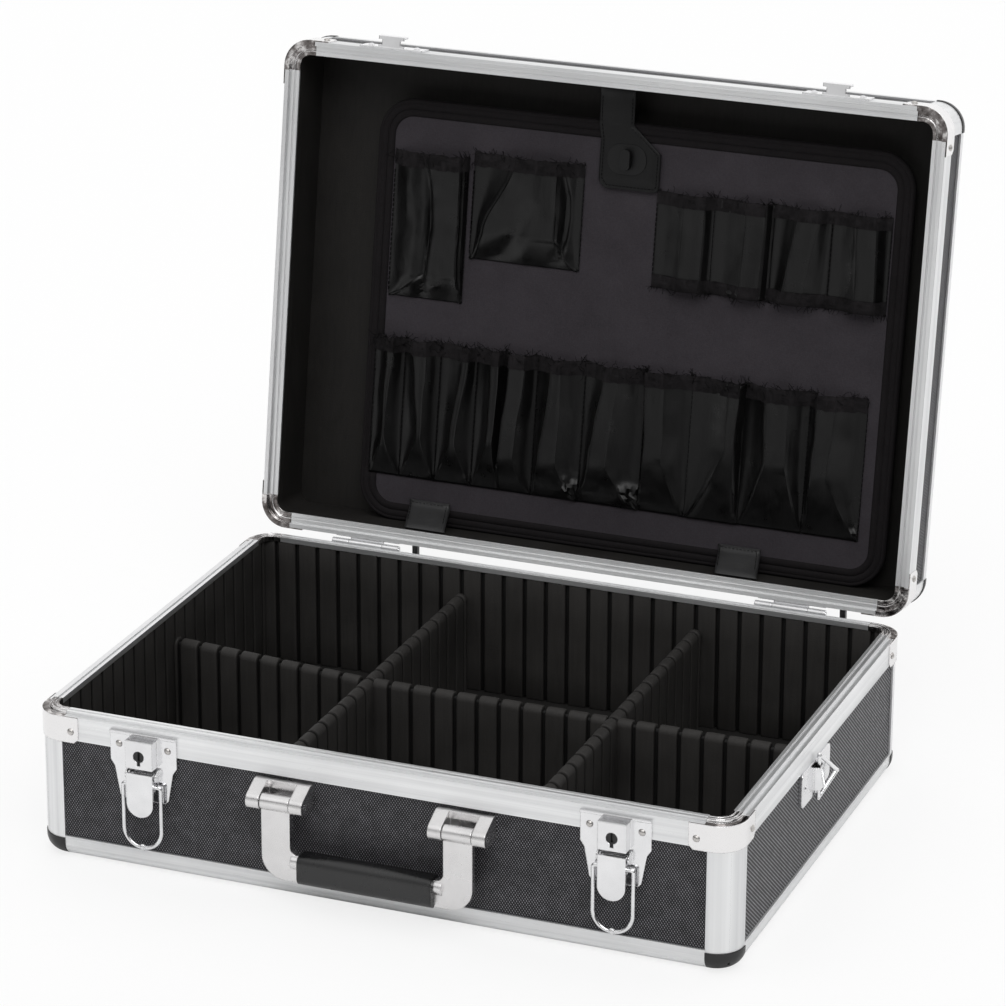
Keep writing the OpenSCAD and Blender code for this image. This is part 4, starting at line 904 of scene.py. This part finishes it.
def pockets(name, specs, node, band, hairs, seams=True):
    """One sheet over all pockets of specs, a taped mouth over the top and stitches down the seams. A spec has
    x0, v0, w, h, out and the crest's edges (a, b) at its apex (mid) and at the mouth (top)."""
    sheet, tape = Build(), Build()
    flat_w = flat_l = 0.0
    for i, s in enumerate(specs):
        H = s["h"]
        nt = int(H / s.get("cell", 2.6))
        ts = [(j / nt) ** 1.15 for j in range(nt + 1)]
        rows = [[pocket_point(s, i, u, s["v0"] + t * H, hh) for u, hh in section(s, t)] for t in ts]
        sheet.grid([[board_pt(*p) for p in r] for r in rows])
        top = rows[-1]
        flat_w += sum(math.dist(p, q) for p, q in zip(top, top[1:]))
        flat_l = max(flat_l, H)
        # tape folded over the mouth
        trs = []
        low = min(range(len(ts)), key=lambda k: abs(ts[k] * H - (H - band)))
        for r, lift in [(rows[low], 0.55), (rows[low], 1.0)] + [(r, 1.05) for r in rows[low + 1:]]:
            tr = []
            for x, v, hgt in r:
                f = 0.42 * swell(x * 0.7, v * 0.7, 3.3) + 0.25 * swell(x * 2.1, v * 2.1, 8.3)
                tr.append(board_pt(x, v + 1.0 * swell(x * 0.30, 1.7, v * 0.2), hgt + lift + f))
            trs.append(tr)
        trs.append([board_pt(x, v + 1.1 + 1.2 * swell(x * 0.45, 4.4, 0), hgt + 0.2) for x, v, hgt in top])
        trs.append([board_pt(x, v + 0.3, max(0.15, hgt - 1.1)) for x, v, hgt in top])
        trs.append([board_pt(x, v, max(0.15, hgt - 1.1)) for x, v, hgt in rows[low]])
        tape.grid(trs)
        # threads standing off the tape
        for _ in range(hairs):
            x, v, hgt = top[RND.randrange(len(top))]
            if RND.random() < 0.35:
                p = board_pt(x, v + 0.8 - RND.uniform(0, band), hgt + 1.0)
            else:
                p = board_pt(x, v + 0.8, hgt + RND.uniform(-0.6, 0.8))
            d = LID_UP * RND.uniform(0.3, 1.0) + LID_X * RND.uniform(-1, 1) + LID_OUT * RND.uniform(-0.1, 0.7)
            HAIR.hair(p, d, RND.uniform(1.5, 6.5), RND.uniform(0.12, 0.20))
        # a few long ends at the seams
        for _ in range(3):
            p = board_pt(s["x0"] + RND.uniform(-1.5, 1.5), s["v0"] + H + RND.uniform(-band, 1.0), RND.uniform(1.0, 4.0))
            d = LID_UP * RND.uniform(-0.4, 1.0) + LID_X * RND.uniform(-1, 1) + LID_OUT * 0.5
            HAIR.hair(p, d, RND.uniform(5, 11), 0.19)
        for u in ((1.0,) if i and seams else (0.0, 1.0)):
            x = s["x0"] + u * s["w"]
            ST.line([board_pt(x, s["v0"] + 3 + k * (H - band - 4) / 12, 1.15) for k in range(13)])
    inside = L(specs[0]["x0"] + 5, specs[0]["v0"], BIN + 200)
    ob = sheet_piece(name, sheet, M_PU, [node], inside, THICK_PU, 38)
    tp = sheet_piece(name + "_tape", tape, M_BIND, [], inside)
    declare((flat_w * MM, flat_l * MM), sheet_area(sheet))


# each pocket of the row: share of the width, crest at its apex, crest at the mouth, height of the apex, reach
ROW = [(21.5, (0.47, 0.57), (0.51, 0.73), 0.28, 9.0), (25.3, (0.53, 0.66), (0.32, 0.70), 0.29, 10.0),
       (25.9, (0.43, 0.59), (0.71, 0.87), 0.29, 9.5), (19.5, (0.60, 0.82), (0.66, 0.94), 0.32, 10.0),
       (22.9, (0.06, 0.52), (0.26, 0.74), 0.24, 11.0), (32.9, (0.20, 0.58), (0.37, 0.59), 0.24, 11.0),
       (41.8, (0.20, 0.50), (0.36, 0.62), 0.28, 11.0), (32.0, (0.12, 0.52), (0.06, 0.48), 0.37, 11.0),
       (35.5, (0.74, 0.92), (0.74, 0.97), 0.53, 11.0), (43.7, (0.40, 0.74), (0.36, 0.72), 0.45, 11.0),
       (38.0, (0.15, 0.45), (0.19, 0.52), 0.42, 11.0)]
# puckers at the foot of some pockets: share of the width, height, reach, size
END_PUCKER = [(0.95, 4.0, 6.0, 1.6)]
MID_PUCKER, NEXT_PUCKER = (0.88, 9.0, 12.5, 4.6), (0.06, 8.0, 8.0, 2.6)
PUCKERS = {1: END_PUCKER, 2: END_PUCKER, 5: [MID_PUCKER], 6: [MID_PUCKER, NEXT_PUCKER], 7: [NEXT_PUCKER] + END_PUCKER,
           8: END_PUCKER, 10: [(0.93, 5.0, 6.0, 1.8)]}


def row_specs():
    k = (ROW_LEN - 2.4) / sum(r[0] for r in ROW)
    specs, x = [], ROW_X0 + 1.2
    for i, (w, mid, top, apex, out) in enumerate(ROW):
        specs.append(dict(x0=x, v0=ROW_V0, w=k * w, h=ROW_H, out=out - 0.8, mid=mid, top=top, apex=apex,
                          ease=0.85 if i < 4 else 0.75, lean=(-0.8 if i % 2 else -0.3), sag=0.26, wob=0.7,
                          pucker=PUCKERS.get(i, ())))
        x += k * w
    return specs


pockets("pocket_row", row_specs(), "lower_pockets", 7.5, 34)
UP_V0 = ROW_V0 + ROW_H
UP_ROOM = WIL + BHT - BORDER_W - UP_V0
SIDE_OUT = 9.0
pockets("upper_pocket_pair", [
    dict(x0=ROW_X0 + 0.0215 * BW, v0=UP_V0 + 0.193 * UP_ROOM, w=0.1425 * BW, h=0.647 * UP_ROOM, out=SIDE_OUT - 0.8,
         mid=(0.52, 0.93), top=(0.50, 0.93), apex=0.17, ease=0.8, sag=0.72, wob=1.1, lean=-0.6, cell=1.5, fine=7,
         pucker=[(0.62, 9.0, 10.0, 2.0)],
         folds=[(0.30, 0.05, 0.22, 0.95, 5.0, 2.6), (0.44, 0.0, 0.45, 1.0, 2.4, -4.2)]),
    dict(x0=ROW_X0 + 0.1734 * BW, v0=UP_V0 + 0.4 * UP_ROOM, w=0.2097 * BW, h=0.47 * UP_ROOM, out=SIDE_OUT - 0.8,
         mid=(0.14, 0.79), top=(0.40, 0.79), apex=0.26, ease=0.7, sag=0.16, wob=1.0, lean=-0.8, cell=1.5, fine=8,
         folds=[(0.52, 0.30, 0.46, 1.0, 9.0, 1.6), (0.20, 0.0, 0.58, 0.62, 5.5, -2.6),
                (0.80, 0.0, 0.80, 1.0, 2.4, -4.5)]),
], "upper_pockets", 8.0, 44, seams=False)


# ------ loops
# each loop's crest at its foot and at its head
LOOPS = [((0.48, 0.86), (0.50, 0.88)), ((0.54, 0.88), (0.58, 0.92)), ((0.24, 0.60), (0.48, 0.84)),
         ((0.50, 0.84), (0.43, 0.78))]


def loop_tape(seq, out_v):
    """Tape over one end of a loop, from its inner row to its edge, and the threads along that edge."""
    trs = [[board_pt(x, v, hgt + 0.3) for x, v, hgt in seq[0]]]
    for r in seq:
        trs.append([board_pt(x, v + 0.5 * swell(x * 0.4, 2.7, v * 0.2), hgt + 1.0 + 0.5 * swell(x * 0.9, v * 0.9, 1.3))
                    for x, v, hgt in r])
    trs.append([board_pt(x, v + out_v, hgt + 0.2) for x, v, hgt in seq[-1]])
    trs += [[board_pt(x, v, max(0.15, hgt - 1.0)) for x, v, hgt in r] for r in (seq[-1], seq[0])]
    for _ in range(26):
        x, v, hgt = RND.choice(seq[-1])
        p = board_pt(x, v + out_v * 0.7, hgt + RND.uniform(-0.3, 0.9))
        d = (LID_UP * (RND.uniform(0.4, 1.0) if out_v > 0 else RND.uniform(-1.0, -0.3)) + LID_X * RND.uniform(-1, 1)
             + LID_OUT * RND.uniform(0, 0.6))
        HAIR.hair(p, d, RND.uniform(1.5, 6.0), RND.uniform(0.12, 0.20))
    return trs


def loops():
    sheet, tape = Build(), Build()
    w, h = 0.1075 * BW, 62.0
    v0 = UP_V0 + 0.38 * UP_ROOM
    n = 24
    dev_w = 0.0
    for i, ((a0, b0), (a1, b1)) in enumerate(LOOPS):
        x0 = BX + BW / 2 - BORDER_W - 1 - (len(LOOPS) - i) * w
        rows = []
        for j in range(n + 1):
            t = j / n
            bow = 1 - 0.10 * math.sin(math.pi * t)
            row = []
            for u, hh in flute(a0 + (a1 - a0) * t, b0 + (b1 - b0) * t, (SIDE_OUT - 0.9) * bow, -0.5, 0.20):
                x, v = x0 + u * w, v0 + t * h
                amp = min(1.0, hh / 3)
                dh = amp * (0.7 * swell(x * 0.07, v * 0.03, 2.0 + i) + 0.3 * swell(x * 0.2, v * 0.1, 2.4))
                row.append((x, v, max(0.5, min(SIDE_OUT - 0.5, hh + dh))))
            rows.append(row)
        sheet.grid([[board_pt(*p) for p in r] for r in rows])
        dev_w += sum(math.dist(p, q) for p, q in zip(rows[0], rows[0][1:]))
        tape.grid(loop_tape(rows[3::-1], -0.9))
        tape.grid(loop_tape(rows[n - 3:], 0.9))
        for e in ((1,) if i else (0, 1)):
            ST.line([board_pt(x0 + e * w, v0 + 6 + k * (h - 12) / 10, 1.15) for k in range(11)])
    inside = L(100, 220, BIN + 200)
    ob = sheet_piece("loop_row", sheet, M_PU, ["tool_loops"], inside, THICK_PU, 38)
    tp = sheet_piece("loop_row_tape", tape, M_BIND, [], inside)
    declare((dev_w * MM, h * MM), sheet_area(sheet))


loops()


# ------ tabs and strap
def tabs():
    """A straight strip of coated cloth from the board's border down to the hinge-side wall."""
    b = Build()
    lean, foot, head = 5.0, 10.25, 25.6
    for x0, x1 in ((-131.0, -102.0), (89.2, 118.3)):
        path = soft_path([(foot, 6.9), (11.6, 8.4), (15.0, 13.6), (19.0, 19.6), (21.6, 23.4), (23.6, FACE - 0.1),
                          (head, FACE)], 5)
        rows = []
        for v, d in path:
            row = []
            t = (head - v) / 15.35
            for i in range(13):
                x = x0 + (x1 - x0) * i / 12 + lean * t
                e = min(i, 12 - i) / 12
                puff = 0.5 * smooth01(e * 6) * smooth01(min(t, 1 - t) * 6)
                row.append(L(x, v + puff * 0.5, d - puff * 0.7))
            rows.append(row)
        b.grid(rows)
        # the seam, 1.8 mm inside the edges
        low, high = (14.6, 11.9, lean * 0.72), (24.0, FACE - 0.75, lean * 0.1)
        a, c = x0 + 1.8, x1 - 1.8
        loop = [(x + s, v, d) for x, (v, d, s) in ((a, low), (a, high), (c, high), (c, low))]
        for p, q in zip(loop, loop[1:]):
            ST.line([L(x, v + 0.3, d - 0.5) for x, v, d in (p, q)], 2.6, 1.7, 0.2)
    ob = sheet_piece("tabs", b, M_TAB, ["board_tabs"], L(0, 60, 400), 1.1, 50)


tabs()

KX, KV = BX - 17 + 8, MID_V + BHT / 2 - 24  # the turn lock
# the strap's two edges: height, x
STRAP_LEFT = [(400, -13), (KV + 22, -13), (KV + 12, -11), (KV - 15, -11), (KV - 18.6, -8.5), (KV - 20, -6)]
STRAP_RIGHT = [(400, 11.4), (KV + 22, 11.4), (KV + 5, 31), (KV - 17, 31), (KV - 19, 30), (KV - 20, 28)]


def strap_edge(table, v):
    for (v1, x1), (v0, x0) in zip(table, table[1:]):
        if v0 <= v <= v1:
            return x0 + (x1 - x0) * (v - v0) / (v1 - v0)
    return table[-1][1] if v < table[-1][0] else table[0][1]


def strap():
    """A strap from the wall down to the turn lock, where it widens to one side, with a hole for the eyelet."""
    vtop = D - WIL
    path = [(vtop - 1.3, FACE - 15), (vtop - 1.4, FACE - 8), (vtop - 2.4, FACE - 3.6), (vtop - 8, FACE - 1.2),
            (KV + 30, FACE - 0.4)] + [(KV + dv, FACE) for dv in (24, 18, 12, 5, -2, -9, -15, -18, -20)]
    pts = soft_path(path, 6)
    b = Build()
    run, rows, n = 0.0, [], 30
    for k, (v, d) in enumerate(pts):
        if k:
            run += math.dist(pts[k - 1], (v, d))
        xl, xr = strap_edge(STRAP_LEFT, v), strap_edge(STRAP_RIGHT, v)
        row = []
        for i in range(n + 1):
            u = i / n
            if v > KV + 22:
                # the neck is crowned between its stitched edges
                crown = 0.9 * math.sin(math.pi * u) ** 0.6 - 0.1
            else:
                crown = 0.55 * smooth01((min(min(u, 1 - u) * 2, (v - (KV - 20)) / 42 * 1.3) - 0.10) * 6)
            row.append(L(xl + (xr - xl) * u, v, d - crown))
        rows.append(row)
    b.grid(rows)
    hole = L(KX, KV, FACE)
    b.f = [f for f in b.f if math.dist([sum(b.v[i][k] for i in f) / len(f) for k in range(3)], hole) >= 0.0062]
    ob = sheet_piece("strap", b, M_STRAP, ["board_strap"], L(0, 150, 400), 1.1, 50)
    width = max(abs(r[-1][0] - r[0][0]) for r in rows)
    declare((width, run * MM), sheet_area(b))
    hgt = FACE - 0.35
    outline = [(-10.9, KV + 22), (-9.0, KV + 11.5), (-9.0, KV - 13.6), (-5.4, KV - 18.0), (27.4, KV - 18.0),
               (29.0, KV - 16.2), (29.0, KV + 4.4), (10.0, KV + 20.6)]
    ST.line([L(x, v, hgt) for x, v in outline], 2.5, 1.6, 0.2)
    for x in (-11.2, 9.6):
        ST.line([L(x, KV + 23, hgt), L(x, KV + 30, hgt - 0.5), L(x, vtop - 8, FACE - 1.8)], 2.5, 1.6, 0.2)


strap()


def keyhole_shades():
    """A short dark ring round each lock plug, put in as painted shade in the hollow behind the keyhole."""
    b = Build()
    for cx in (-KEY_X, KEY_X):
        rows = []
        for r, y in ((3.85, -171.6), (6.6, -171.6), (6.6, -170.6), (3.85, -170.6)):
            turns = [2 * math.pi * k / 24 for k in range(24)]
            rows.append([P(cx + r * math.cos(t), y, KEY_Z + r * math.sin(t)) for t in turns])
        b.grid(rows, closed_u=True, closed_v=True)
    make("keyhole_shades", b, M_PLASTIC, "base", sharp=40)


keyhole_shades()
make("stitches", ST, M_THREAD, "lid")
make("loose_threads", HAIR, M_THREAD, "lid")


# ------ floor, backdrop and light
FLOOR = [(-2.2, -1.5, -0.0004), (1.6, -1.5, -0.0004), (1.6, 2.6, -0.0004), (-2.2, 2.6, -0.0004)]
q = Mat("pale_floor")
q.set(Base_Color=(0.95, 0.95, 0.95), Roughness=0.7, Specular_IOR_Level=0.15)
seen = q.math("MULTIPLY", q.n("ShaderNodeLightPath").outputs["Is Camera Ray"], 0.78)
q.blend_shaders(seen, q.b.outputs[0], q.shader("ShaderNodeEmission", 1.0), q.out)
me = bpy.data.meshes.new("floor")
me.from_pydata(FLOOR, [], [(0, 1, 2, 3)])
me.update()
me.materials.append(q.m)
floor = bpy.data.objects.new("floor", me)
scene.collection.objects.link(floor)

world = bpy.data.worlds.new("studio")
scene.world = world
w = Nodes(world)


def step(v, a, b):
    return w.range(v, a, b, kind="SMOOTHSTEP")


toward = w.n("ShaderNodeSeparateXYZ")
w.l(w.n("ShaderNodeTexCoord").outputs["Generated"], toward.inputs[0])
X, Y, Z = toward.outputs
# a bright overhead bank and white backdrop, one card front left, and a dim room elsewhere
top = w.math("MULTIPLY", step(Z, 0.42, 0.60), 0.92)
rear = step(Y, 0.25, 0.5)
front = w.math("ADD", w.math("MULTIPLY", X, -0.36), w.math("MULTIPLY", Y, -0.93))
flat = w.math("SUBTRACT", 1.0, step(w.math("ABSOLUTE", Z), 0.30, 0.42))
card = w.math("MULTIPLY", w.math("MULTIPLY", step(front, 0.88, 0.96), flat), 0.66)
dim = w.math("SUBTRACT", 0.15, w.math("MULTIPLY", step(X, 0.55, 0.75), 0.09))
level = w.math("MAXIMUM", w.math("MAXIMUM", top, rear), w.math("MAXIMUM", card, dim))
w.blend_shaders(w.n("ShaderNodeLightPath").outputs["Is Camera Ray"], w.shader("ShaderNodeBackground", level),
                w.shader("ShaderNodeBackground", 1.0), w.n("ShaderNodeOutputWorld"))


def sun(name, toward, strength, angle):
    """A soft lamp at infinity, shining from the direction toward."""
    ld = bpy.data.lights.new(name, "SUN")
    ld.energy = strength
    ld.angle = math.radians(angle)
    ob = bpy.data.objects.new(name, ld)
    scene.collection.objects.link(ob)
    ob.rotation_euler = (-Vector(toward)).to_track_quat("-Z", "Y").to_euler()


sun("key", (0.30, -0.62, 0.78), 0.85, 38)
sun("fill_left", (-0.70, -0.30, 0.65), 0.08, 50)

scene.view_settings.view_transform = "Standard"
bpy.context.view_layer.update()
